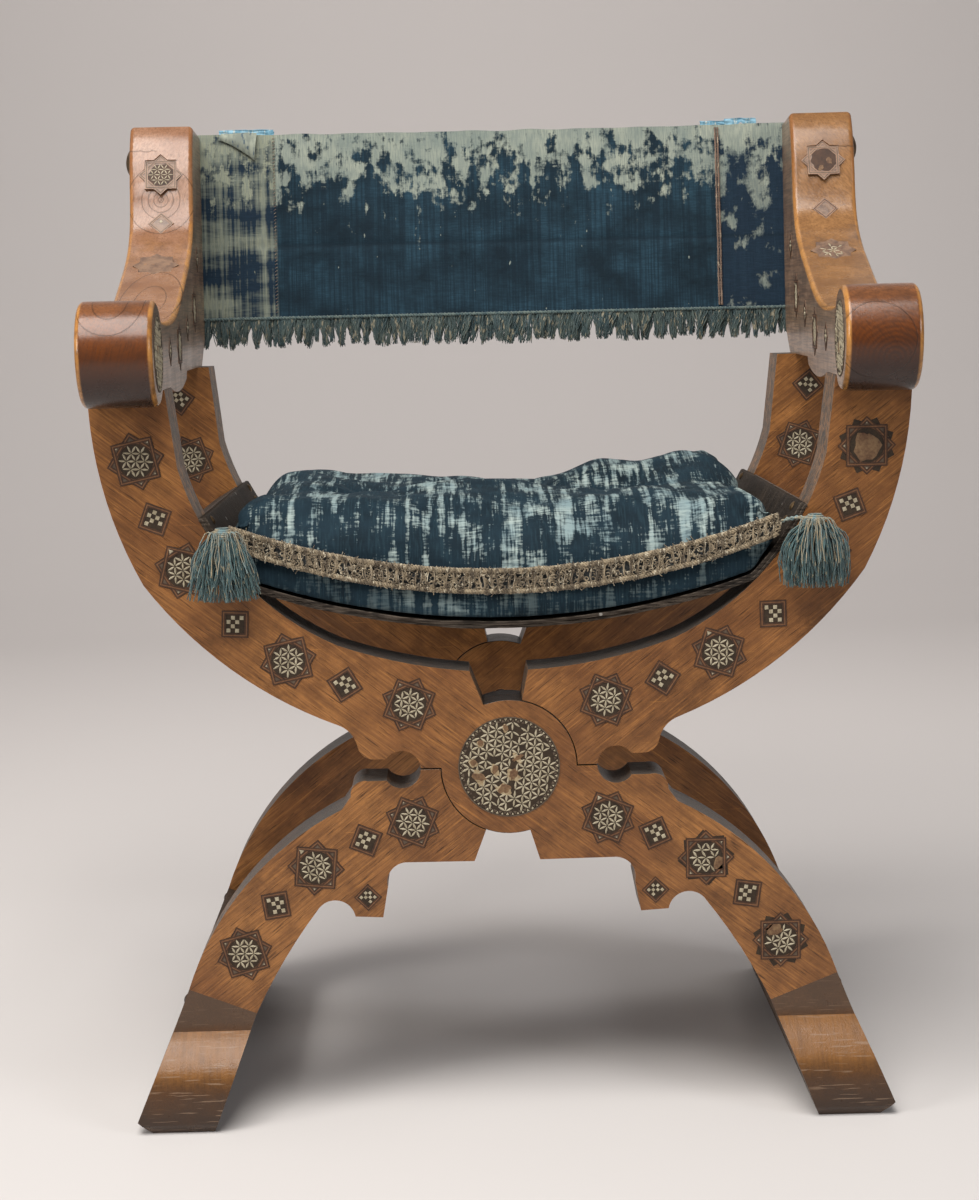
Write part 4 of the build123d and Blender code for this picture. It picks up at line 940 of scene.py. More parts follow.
def rosette_model(radius, seed, patches, missing):
    """A round plaque: flower lattice, two rings of small triangles, a thin rim and torn patches."""
    dice = random.Random(seed)
    parts = [polygon_frame(64, radius, 0.0, ((0.0008, GREY),), 0.00035)]
    parts += flower_lattice(radius - 0.0040, 0.0079, dice, missing, patches, math.radians(24))
    tip = chip(3, 0.0035, 0.0033, 0.00032, BONE, 0.6)
    corner = chip(3, 0.0036, 0.0036, 0.0002, GREY, 0.8)
    count = int(radius * 2 * math.pi / 0.0047)
    for index in range(count):
        turn = Matrix.Rotation(2 * math.pi * index / count, 4, "Z")
        half = Matrix.Rotation(math.pi / count, 4, "Z")
        if dice.random() > 0.12:
            parts.append(copied(tip, turn @ Matrix.Translation((radius - 0.0021, 0, 0)) @
                                Matrix.Rotation(math.pi, 4, "Z") @ Matrix.Scale(dice.uniform(0.6, 1.0), 4)))
        parts.append(copied(corner, turn @ half @ Matrix.Translation((radius - 0.0034, 0, 0)) @
                            Matrix.Scale(dice.uniform(0.7, 1.1), 4)))
    dropped(tip, corner)
    for x, y, wide, tall in patches:
        parts.append(torn_patch(x, y - 0.0006, wide, tall, dice, RIM, 0.00024))
        parts.append(torn_patch(x, y + 0.0004, wide * 0.84, tall * 0.8, dice, PATCH, 0.00034))
    return joined("rosette", parts)


TORN_STARS = ((0.3106, 0.5843), (0.235, 0.151), (0.1712, 0.2092))


def upright(matrix):
    """The same place with local Y up, so that wear lies where it should."""
    out = matrix.to_3x3().col[2]
    turned = Matrix(((-out.y, 0, out.x), (out.x, 0, out.y), (0, 1, 0))).to_4x4()
    turned.translation = matrix.translation
    return turned


def arm_ground():
    """Ground of the arms' plaques: dark on the inner sides, worn brown on the posts' fronts."""
    made, tree, shader = material("inlay arm plaques")
    place, normal = place_and_normal(tree)
    mottle = clouds(tree, place, 120.0, 4.0, 0.65)
    spots = clouds(tree, moved(tree, place, shift=(1, 2, 3)), 75.0, 3.0)
    front = blended(tree, steps(tree, mottle, [(0.4, 0.0), (0.62, 1.0)]), (0.20, 0.118, 0.072, 1),
                    (0.105, 0.060, 0.040, 1))
    front = blended(tree, steps(tree, spots, [(0.62, 0.0), (0.70, 0.8)]), front, (0.33, 0.155, 0.05, 1))
    side = blended(tree, steps(tree, mottle, [(0.4, 0.0), (0.6, 1.0)]), (0.075, 0.055, 0.036, 1),
                   (0.025, 0.016, 0.01, 1))
    turned = sum_of(tree, "ABSOLUTE", parts_of(tree, normal)[0])
    colour = blended(tree, steps(tree, turned, [(0.6, 0.0), (0.8, 1.0)]), front, side)
    tree.links.new(colour, shader.inputs["Base Color"])
    shader.inputs["Roughness"].default_value = 0.42
    raise_bump(tree, shader, mottle, 0.0008, 0.8)
    return made


def plaque_places(node, side=0):
    """Matrix and outer radius of every plaque of a node: outward is local Z, a point is on local X."""
    work = bmesh.new()
    work.from_mesh(frame["nodes"][node].data)
    bmesh.ops.remove_doubles(work, verts=work.verts, dist=0.00002)
    work.faces.index_update()
    work.verts.index_update()
    seen = set()
    places = []
    for start in work.faces:
        if start.index in seen:
            continue
        island, queue = [], [start]
        while queue:
            face = queue.pop()
            if face.index in seen:
                continue
            seen.add(face.index)
            island.append(face)
            queue.extend(other for edge in face.edges for other in edge.link_faces if other.index not in seen)
        area = {}
        for face in island:
            key = tuple(round(value, 1) for value in face.normal)
            area[key] = area.get(key, 0.0) + face.calc_area()
        key = max(area, key=area.get)
        alike = [face for face in island if tuple(round(value, 1) for value in face.normal) == key]
        best = max(alike, key=lambda face: (round(face.calc_area(), 9), face.index))
        out = best.normal.copy()
        inner = abs(out.x) > 0.7
        if (inner and out.x * side > 0) or (not inner and out.y > 0):
            out.negate()
        spots = {vert.index: vert.co for face in island for vert in face.verts}
        top = max(spot.dot(out) for spot in spots.values())
        rim = [spots[index] for index in sorted(spots) if spots[index].dot(out) > top - 0.0003]
        middle = sum(rim, Vector()) / len(rim)
        far = max(rim, key=lambda spot: (round((spot - middle).length, 5), round(spot.z, 5),
                                         round(spot.x, 5)))
        along = (far - middle - (far - middle).dot(out) * out).normalized()
        across = out.cross(along)
        matrix = Matrix((along, across, out)).transposed().to_4x4()
        matrix.translation = middle + out * 0.00003
        places.append((matrix, (far - middle).length, inner))
    work.free()
    return sorted(places, key=lambda item: (round(item[0].translation.x, 4), round(item[0].translation.z, 4)))


class CHAIR_OT_inlay(bpy.types.Operator):
    """Stars, diamonds and rosettes of bone and dark wood strips"""
    bl_idname = "chair.inlay"
    bl_label = "Inlay"

    def execute(self, context):
        whole = [star_model(seed) for seed in (3, 8, 21)]
        torn = [star_model(31, missing=0.8, patches=((0.0, -0.001, 0.0135, 0.0125),)),
                star_model(35, missing=0.05, patches=((-0.006, 0.009, 0.0085, 0.0062),)),
                star_model(38, missing=0.05, patches=((0.012, -0.006, 0.006, 0.0068),))]
        diamonds = [diamond_model(seed) for seed in (5, 9)]
        ground = inlay_finish("ground")
        for place in ("front", "rear"):
            for unit in ("a", "b"):
                for kind in ("stars", "diamonds"):
                    node = f"{place}_{kind}_{unit}"
                    paint(frame["nodes"][node], ground)
                    own = []
                    for index, (matrix, reach, _) in enumerate(plaque_places(node)):
                        spot = (matrix.translation.x, matrix.translation.z)
                        if kind == "stars":
                            model = whole[index % 3]
                            for at, other in zip(TORN_STARS, torn):
                                if place == "front" and math.dist(spot, at) < 0.02:
                                    model = other
                                    matrix = upright(matrix)
                        else:
                            model = diamonds[index % 2]
                        size = reach / (0.025 if kind == "stars" else 0.023 / math.sqrt(2))
                        own.append(copied(model, matrix @ Matrix.Scale(size, 4)))
                    piece = joined(f"{place}_bone_{kind}_{unit}", own)
                    carried(piece, body_of(node), "inlay")
        pale = (PALE, GREY, PALE)
        post = {
            "left": [star_model(41, bands=pale, tips=False),
                     diamond_model(42, bands=(PALE, GREY), keep=((1, 2),)), None],
            "right": [star_model(51, bands=pale, tips=False, missing=0.97,
                                 patches=((-0.010, 0.003, 0.0045, 0.003), (-0.001, -0.007, 0.0045, 0.0035))),
                      diamond_model(52, bands=(PALE, DARK), keep=((9, 9),)),
                      star_model(53, bands=(), tips=False, missing=0.45)],
        }
        for side, sign in (("left", -1), ("right", 1)):
            node = f"{side}_arm_plaques"
            paint(frame["nodes"][node], arm_ground())
            own = []
            places = plaque_places(node, sign)
            heights = sorted((matrix.translation.z for matrix, _, inner in places if not inner), reverse=True)
            for index, (matrix, reach, inner) in enumerate(places):
                star = reach > 0.02
                model = (whole if star else diamonds)[index % 2]
                if not inner:
                    order = heights.index(matrix.translation.z)
                    model = post[side][order] if order < 3 else None
                if model:
                    size = reach / (0.025 if star else 0.023 / math.sqrt(2))
                    own.append(copied(model, matrix @ Matrix.Scale(size, 4)))
            piece = joined(f"{side}_arm_bone", own)
            carried(piece, body_of(node), "inlay")
        dropped(*whole, *torn, *diamonds, *(model for models in post.values() for model in models if model))
        worn = ((-0.0045, -0.0195, 0.0075, 0.0055), (-0.0265, -0.0085, 0.0085, 0.0042),
                (-0.0125, -0.0025, 0.006, 0.0035),
                (0.0035, -0.007, 0.0072, 0.0048), (-0.0243, 0.0212, 0.0036, 0.0036),
                (-0.0025, 0.0342, 0.0042, 0.0028),
                (0.0075, 0.0073, 0.0062, 0.0024), (-0.031, 0.0045, 0.0045, 0.004))
        for node, radius, patches, missing, side in (
                ("front_hub_rosette", 0.044, worn, 0.05, 0),
                ("left_knob_rosette", 0.032, ((0.004, 0.003, 0.005, 0.004),), 0.08, -1),
                ("right_knob_rosette", 0.032, ((-0.008, 0.006, 0.006, 0.004),), 0.08, 1)):
            paint(frame["nodes"][node], ground)
            matrix, reach, _ = plaque_places(node, side)[0]
            if side == 0:
                matrix = Matrix.Translation(matrix.translation) @ Matrix(((1, 0, 0), (0, 0, -1),
                                                                          (0, 1, 0))).to_4x4()
            model = rosette_model(radius, 17 + side, patches, missing)
            piece = copied(model, matrix)
            dropped(model)
            piece.name = node.replace("rosette", "bone")
            carried(piece, body_of(node), "inlay")
        return {"FINISHED"}


# Metal

class CHAIR_OT_metal(bpy.types.Operator):
    """Finishes of the nails, bosses and hub pins"""
    bl_idname = "chair.metal"
    bl_label = "Nails and pins"

    def execute(self, context):
        for name, first, second, rough, nodes in (
                ("dull brass", (0.20, 0.13, 0.065, 1), (0.06, 0.035, 0.02, 1), 0.42,
                 ("left_post_boss", "right_post_boss", "left_back_nails", "right_back_nails",
                  "left_seat_nails", "right_seat_nails")),
                ("forged iron", (0.09, 0.08, 0.075, 1), (0.10, 0.04, 0.02, 1), 0.5,
                 ("front_pivot_pin", "rear_pivot_pin", "left_runner_nails", "right_runner_nails"))):
            made, tree, shader = material(name)
            place, _ = place_and_normal(tree)
            mottle = clouds(tree, place, 150.0, 5.0, 0.65)
            colour = blended(tree, steps(tree, mottle, [(0.4, 0.0), (0.62, 1.0)]), first, second)
            tree.links.new(colour, shader.inputs["Base Color"])
            tree.links.new(sum_of(tree, "MULTIPLY_ADD", mottle, 0.3, rough - 0.1), shader.inputs["Roughness"])
            shader.inputs["Metallic"].default_value = 0.85
            raise_bump(tree, shader, mottle, 0.0004, 0.7)
            for node in nodes:
                paint(frame["nodes"][node], made)
        return {"FINISHED"}


# Soft goods

def shape_of(node):
    """A tree of a node's faces, to lay pieces on or against it."""
    data = frame["nodes"][node].data
    return BVHTree.FromPolygons([vert.co.copy() for vert in data.vertices],
                                [tuple(face.vertices) for face in data.polygons])


def wave(x, y, size, seed=0.0):
    return noise.noise(Vector((x / size, y / size, seed)))


def grid(name, columns, rows, rule):
    """A sheet whose points rule(u, v) gives, u and v from 0 to 1."""
    deselect()
    bpy.ops.mesh.primitive_grid_add(x_subdivisions=columns, y_subdivisions=rows, size=1.0, calc_uvs=True)
    piece = bpy.context.object
    piece.name = name
    for vertex in piece.data.vertices:
        vertex.co = rule(vertex.co.x + 0.5, vertex.co.y + 0.5)
    piece.data.update()
    return piece


def facing(piece, direction):
    """Turn a sheet over if its faces look away from a direction."""
    total = sum((face.normal * face.area for face in piece.data.polygons), Vector())
    if total.dot(Vector(direction)) < 0:
        piece.data.flip_normals()
        piece.data.update()


def thicken(piece, thickness, offset=-1.0, even=True):
    choose(piece)
    modifier = piece.modifiers.new("ply", "SOLIDIFY")
    modifier.thickness = thickness
    modifier.offset = offset
    modifier.use_even_offset = even
    bpy.ops.object.modifier_apply(modifier=modifier.name)


def strands(name, paths, radius, sides=0):
    """Many thin threads, made as bevelled lines and turned into one mesh."""
    line = bpy.data.curves.new(name, "CURVE")
    line.dimensions = "3D"
    line.bevel_depth = radius
    line.bevel_resolution = sides
    line.use_fill_caps = True
    for path in paths:
        spline = line.splines.new("POLY")
        spline.points.add(len(path) - 1)
        for point, place in zip(spline.points, path):
            point.co = (*place[:3], 1.0)
            point.radius = place[3] if len(place) > 3 else 1.0
    piece = bpy.data.objects.new(name, line)
    bpy.context.scene.collection.objects.link(piece)
    piece = as_mesh(piece)
    choose(piece)
    bpy.ops.object.shade_smooth()
    return piece


def twisted(path, radius, pitch, phase):
    """Points winding round a path."""
    points = []
    travelled = 0.0
    for index, spot in enumerate(path):
        before = path[max(index - 1, 0)]
        after = path[min(index + 1, len(path) - 1)]
        travelled += (spot - path[index - 1]).length if index else 0.0
        along = (after - before).normalized()
        side = along.cross(Vector((0, 1, 0))).normalized()
        over = along.cross(side)
        angle = 2 * math.pi * travelled / pitch + phase
        points.append(spot + side * radius * math.cos(angle) + over * radius * math.sin(angle))
    return points


def leather():
    made, tree, shader = material("old leather")
    place, normal = place_and_normal(tree)
    crease = clouds(tree, moved(tree, place, scale=(1.0, 2.2, 1.0)), 55.0, 6.0, 0.65)
    grain = cells(tree, place, 620.0)
    broad = clouds(tree, place, 14.0, 4.0)
    colour = blended(tree, steps(tree, broad, [(0.35, 0.0), (0.65, 1.0)]), (0.014, 0.011, 0.009, 1),
                     (0.028, 0.020, 0.014, 1))
    colour = blended(tree, steps(tree, crease, [(0.52, 0.0), (0.68, 0.8)]), colour, (0.060, 0.045, 0.034, 1))
    rim = sum_of(tree, "ABSOLUTE", parts_of(tree, normal)[1])
    worn = steps(tree, clouds(tree, moved(tree, place, scale=(0.25, 1, 3)), 220.0, 3.0),
                 [(0.42, 0.0), (0.6, 1.0)])
    edge = sum_of(tree, "MULTIPLY", steps(tree, rim, [(0.35, 0.0), (0.6, 1.0), (0.9, 1.0), (1.0, 0.25)]),
                  worn)
    colour = blended(tree, sum_of(tree, "MULTIPLY", edge, 0.7), colour, (0.17, 0.135, 0.105, 1))
    speck = steps(tree, cells(tree, moved(tree, place, scale=(1, 1, 1)), 34.0),
                  [(0.0, 1.0), (0.055, 1.0), (0.075, 0.0)])
    colour = blended(tree, sum_of(tree, "MULTIPLY", speck, 0.5), colour, (0.5, 0.47, 0.42, 1))
    tree.links.new(colour, shader.inputs["Base Color"])
    tree.links.new(sum_of(tree, "MULTIPLY_ADD", crease, 0.3, 0.46), shader.inputs["Roughness"])
    shader.inputs["Specular IOR Level"].default_value = 0.12
    height = sum_of(tree, "MULTIPLY_ADD", grain, 0.35, crease)
    raise_bump(tree, shader, height, 0.0009, 0.8)
    return made


class CHAIR_OT_seat_leather(bpy.types.Operator):
    """The two plies of the leather sling"""
    bl_idname = "chair.seat_leather"
    bl_label = "Seat leather"

    def execute(self, context):
        made = leather()
        for node, name, thickness, grow, seed in (
                ("seat_sling", "seat_leather", 0.0033, 0.0, 1.0),
                ("seat_under_sling", "seat_leather_under", 0.0029, 0.001, 7.0)):
            low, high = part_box(node)
            tree = shape_of(node)
            middle = (low.y + high.y) / 2
            profile = []
            for index in range(241):
                x = low.x + 0.0004 + (high.x - low.x - 0.0008) * index / 240
                hit = tree.ray_cast(Vector((x, middle, 1.0)), Vector((0, 0, -1)))[0]
                if hit:
                    profile.append(Vector((x, 0, hit.z)))
            lengths = [0.0]
            for before, after in zip(profile, profile[1:]):
                lengths.append(lengths[-1] + (after - before).length)

            def rule(u, v, lengths=lengths, profile=profile, low=low, high=high, seed=seed, grow=grow):
                want = u * lengths[-1]
                index = max(0, min(len(lengths) - 2, bisect.bisect_right(lengths, want) - 1))
                part = (want - lengths[index]) / (lengths[index + 1] - lengths[index])
                spot = profile[index].lerp(profile[index + 1], part)
                y = low.y + 0.0012 + (high.y - low.y - 0.0024) * v
                front = max(0.0, 1.0 - v / 0.10)
                slack = math.sin(math.pi * u)
                drop = 0.0022 * front * slack * (0.5 + 0.5 * wave(spot.x, seed, 0.05, seed))
                drop += 0.0007 * slack * abs(wave(spot.x, y, 0.035, seed + 3))
                y += front * front * (0.0018 * wave(spot.x, 0.3, 0.06, seed + 5) + grow) * slack
                return Vector((spot.x, y, spot.z - drop))

            piece = grid(name, 150, 60, rule)
            facing(piece, (0, 0, 1))
            thicken(piece, thickness)
            choose(piece)
            bevel = piece.modifiers.new("edge", "BEVEL")
            bevel.width = thickness * 0.3
            bevel.segments = 2
            bevel.angle_limit = math.radians(50)
            bpy.ops.object.modifier_apply(modifier=bevel.name)
            bpy.ops.object.shade_smooth()
            paint(piece, made)
            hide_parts(node)
            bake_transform(piece)
        return {"FINISHED"}


def velvet():
    """Teal velvet with its pile worn to a pale ground in streaks and blotches, dark on the upright sides."""
    made, tree, shader = material("cushion velvet")
    place, normal = place_and_normal(tree)
    lines = clouds(tree, moved(tree, place, scale=(150, 9, 9)), 1.0, 4.0, 0.6)
    blots = clouds(tree, moved(tree, place, scale=(24, 14, 21)), 1.0, 6.0, 0.66, 0.3)
    threads = clouds(tree, moved(tree, place, scale=(620, 60, 60)), 1.0, 2.0)
    weft = clouds(tree, moved(tree, place, scale=(60, 520, 520)), 1.0, 2.0)
    share = sum_of(tree, "MULTIPLY_ADD", lines, 0.60, share_of(tree, blots, 0.66))
    share = sum_of(tree, "MULTIPLY_ADD", weft, 0.20, share)
    share = sum_of(tree, "MULTIPLY_ADD", threads, 0.17, share)
    worn = steps(tree, share, [(0.825, 0.0), (0.86, 0.4), (0.94, 1.0)])
    upright = parts_of(tree, normal)[2]
    worn = sum_of(tree, "MULTIPLY", worn, steps(tree, upright, [(0.0, 0.22), (0.22, 1.0)]))
    mottle = clouds(tree, place, 26.0, 5.0, 0.65)
    pile = blended(tree, steps(tree, mottle, [(0.32, 0.0), (0.68, 1.0)]), (0.003, 0.009, 0.014, 1),
                   (0.009, 0.024, 0.036, 1))
    pile = blended(tree, steps(tree, threads, [(0.5, 0.0), (0.62, 0.5)]), pile, (0.014, 0.034, 0.046, 1))
    tinge = steps(tree, clouds(tree, place, 45.0, 3.0), [(0.35, 0.0), (0.65, 1.0)])
    pale = blended(tree, tinge, (0.31, 0.37, 0.345, 1), (0.19, 0.26, 0.27, 1))
    pale = blended(tree, steps(tree, weft, [(0.38, 0.5), (0.56, 0.0)]), pale, (0.10, 0.15, 0.17, 1))
    tree.links.new(blended(tree, worn, pile, pale), shader.inputs["Base Color"])
    settled(shader, {"Roughness": 0.8, "Sheen Weight": 0.05, "Sheen Roughness": 0.4,
                     "Sheen Tint": (0.55, 0.72, 0.8, 1), "Specular IOR Level": 0.15})
    height = sum_of(tree, "MULTIPLY_ADD", threads, 0.4, share_of(tree, weft, 0.4))
    height = sum_of(tree, "SUBTRACT", height, share_of(tree, worn, 0.5))
    raise_bump(tree, shader, height, 0.0008, 0.8)
    return made


# Swells and dips along the cushion's rear edge: place along X, half width and height
REAR_SWELLS = ((-0.17, 0.09, 0.009), (0.016, 0.022, -0.004), (0.10, 0.055, 0.010), (0.205, 0.065, 0.019))
TUFTS = ((0.0, 0.0545), (-0.104, -0.020), (0.104, -0.020))
CUSHION_MESH = 0.0045
DEEPEST_FOLD = 0.009
MOST_SINK = 0.018
LEATHER_GAP = 0.0025
SWELL_STEPS = 20
MOST_SWELL = 0.007
LEAST_SWELL = 0.0005


def cushion_folds():
    """Folds from the tufts and corners: place, direction, depth, reach, width, widening, start and bend."""
    folds = []
    dice = random.Random(11)
    for centre_x, centre_y in TUFTS:
        for index in range(7):
            angle = 2 * math.pi * index / 7 + dice.uniform(-0.3, 0.3)
            folds.append((centre_x, centre_y, math.cos(angle), math.sin(angle), 0.0056,
                          dice.uniform(0.032, 0.075),
                          dice.uniform(0.005, 0.0085), 8.0, 0.012, index))
    for sign_x, corner_y, spread in ((-1, -0.205, 1), (1, -0.205, 1), (-1, 0.165, -1), (1, 0.165, -1)):
        for index in range(5):
            angle = math.radians(14 + 17 * index + dice.uniform(-5, 5))
            angle = math.pi - angle if sign_x > 0 else angle
            angle = angle if spread > 0 else -angle
            folds.append((sign_x * 0.236, corner_y, math.cos(angle), math.sin(angle), 0.0052,
                          dice.uniform(0.04, 0.085),
                          dice.uniform(0.004, 0.007), 12.0, 0.01, index * 2))
    return folds


def fold_pull(folds, x, y):
    """How far the cushion's top is drawn down at a place."""
    pull = 0.0
    for from_x, from_y, cosine, sine, depth, reach, width, widening, start, bend in folds:
        along = (x - from_x) * cosine + (y - from_y) * sine
        if along <= 0 or along > reach * 4:
            continue
        across = -(x - from_x) * sine + (y - from_y) * cosine + 0.0035 * math.sin(along * 65 + bend)
        across /= width * (1 + along * widening)
        if abs(across) < 2.5:
            pull += depth * math.exp(-across * across - along / reach) * min(1.0, along / start)
    return pull


class CHAIR_OT_cushion(bpy.types.Operator):
    """The loose velvet cushion with tufts and folds"""
    bl_idname = "chair.cushion"
    bl_label = "Cushion"

    def execute(self, context):
        piece = node_copy("seat_cushion", "velvet_cushion")
        choose(piece)
        remesh = piece.modifiers.new("even", "REMESH")
        remesh.mode = "VOXEL"
        remesh.voxel_size = CUSHION_MESH
        bpy.ops.object.modifier_apply(modifier=remesh.name)
        smooth = piece.modifiers.new("settle", "SMOOTH")
        smooth.factor = 0.5
        smooth.iterations = 6
        bpy.ops.object.modifier_apply(modifier=smooth.name)
        fill_out(piece)
        choose(piece)
        fine = piece.modifiers.new("fine", "SUBSURF")
        fine.levels = 1
        fine.render_levels = 1
        bpy.ops.object.modifier_apply(modifier=fine.name)
        normals = [vertex.normal.copy() for vertex in piece.data.vertices]
        places = [vertex.co.copy() for vertex in piece.data.vertices]
        folds = cushion_folds()
        leather = shape_of("seat_sling")
        for spot, normal in zip(places, normals):
            under = max(0.0, min(1.0, 0.15 - normal.z * 1.4))
            from_y = max(-0.19, spot.y)
            below = leather.ray_cast(Vector((spot.x, from_y, spot.z)), Vector((0, 0, -1)))[0]
            if under and below:
                room = max(0.0, spot.z - below.z - LEATHER_GAP)
                spot.z -= under * min(MOST_SINK, room) * max(0.35, min(1.0, (0.245 - abs(spot.x)) / 0.03))
            up = max(0.0, min(1.0, normal.z * 1.6 + 0.45))
            pull = min(DEEPEST_FOLD, fold_pull(folds, spot.x, spot.y)) * up
            lump = 0.0112 * wave(spot.x, spot.y, 0.105, 2.0) + 0.0042 * wave(spot.x, spot.y, 0.04, 5.0)
            ripple = 0.0005 * wave(spot.x * 0.6, spot.y, 0.009,
                                   8.0) * max(0.0, wave(spot.x, spot.y, 0.06, 4.0) * 2)
            spot += normal * ((lump + ripple - 0.0006) * up - pull)
            rear = max(0.0, min(1.0, (spot.y + 0.02) / 0.15))
            swell = sum(height * math.exp(-((spot.x - at) / half) ** 2) for at, half, height in REAR_SWELLS)
            above = max(0.0, min(1.0, (spot.z - 0.455) / 0.06))
            spot.z += swell * rear * rear * (3 - 2 * rear) * above
        piece.data.vertices.foreach_set("co", [value for spot in places for value in spot])
        piece.data.update()
        even = piece.modifiers.new("even", "SMOOTH")
        even.factor = 0.5
        even.iterations = 3
        bpy.ops.object.modifier_apply(modifier=even.name)
        bpy.ops.object.shade_smooth()
        paint(piece, velvet())
        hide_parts("seat_cushion")
        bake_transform(piece)
        return {"FINISHED"}


def fill_out(piece):
    """Let the cushion swell a little under pressure, and keep its underside where it was."""
    rest = [vertex.co.copy() for vertex in piece.data.vertices]
    keep = [vertex.normal.z < -0.25 for vertex in piece.data.vertices]
    held = piece.vertex_groups.new(name="held")
    for vertex in piece.data.vertices:
        tuft = min(math.hypot(vertex.co.x - x, vertex.co.y - y) for x, y in TUFTS)
        if vertex.normal.z < -0.5 or (tuft < 0.008 and vertex.normal.z > 0):
            held.add([vertex.index], 1.0, "REPLACE")
    choose(piece)
    cloth = piece.modifiers.new("cloth", "CLOTH")
    cloth.settings.use_pressure = True
    cloth.settings.uniform_pressure_force = 3.5
    cloth.settings.effector_weights.gravity = 0.0
    cloth.settings.vertex_group_mass = "held"
    cloth.settings.quality = 4
    cloth.settings.tension_stiffness = 12
    cloth.settings.compression_stiffness = 4
    cloth.settings.bending_stiffness = 0.15
    cloth.point_cache.frame_start = 1
    cloth.point_cache.frame_end = SWELL_STEPS
    for step in range(1, SWELL_STEPS + 1):
        bpy.context.scene.frame_set(step)
    bpy.ops.object.modifier_apply(modifier=cloth.name)
    bpy.context.scene.frame_set(1)
    piece.vertex_groups.clear()
    for vertex, before, fixed in zip(piece.data.vertices, rest, keep):
        shift = vertex.co - before
        limit = LEAST_SWELL if fixed else MOST_SWELL
        if shift.length > limit:
            vertex.co = before + shift.normalized() * limit
    choose(piece)
    smooth = piece.modifiers.new("settle", "SMOOTH")
    smooth.factor = 0.4
    smooth.iterations = 2
    bpy.ops.object.modifier_apply(modifier=smooth.name)


def thread_finish(name, first, second, third=None, scale=160.0, rough=0.75):
    made, tree, shader = material(name)
    place, _ = place_and_normal(tree)
    streak = clouds(tree, moved(tree, place, scale=(1, 1, 0.25)), scale, 3.0, 0.6)
    colour = blended(tree, steps(tree, streak, [(0.38, 0.0), (0.6, 1.0)]), first, second)
    if third:
        broad = clouds(tree, moved(tree, place, shift=(3, 1, 2), scale=(1, 1, 0.3)), scale * 2.0, 2.0)
        colour = blended(tree, steps(tree, broad, [(0.58, 0.0), (0.66, 1.0)]), colour, third)
    tree.links.new(colour, shader.inputs["Base Color"])
    settled(shader, {"Roughness": rough, "Sheen Weight": 0.2})
    raise_bump(tree, shader, clouds(tree, place, 1500.0, 2.0), 0.0003, 0.5)
    return made


def braid_lines():
    """Upper and lower edge of the braid's band as lists of points along its front."""
    low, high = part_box("cushion_braid")
    tree = shape_of("cushion_braid")
    depth = (low.y + high.y) / 2
    upper, lower = [], []
    for index in range(481):
        x = low.x + 0.0015 + (high.x - low.x - 0.003) * index / 480
        top = tree.ray_cast(Vector((x, depth, 1.0)), Vector((0, 0, -1)))[0]
        bottom = tree.ray_cast(Vector((x, depth, 0.0)), Vector((0, 0, 1)))[0]
        upper.append(Vector((x, 0.0, top.z)))
        lower.append(Vector((x, 0.0, bottom.z)))
    return upper, lower


# Numbers of net bars, loose ends and small loops in the braid
NET_BARS = 34
LOOSE_ENDS = 1500
SMALL_LOOPS = 950


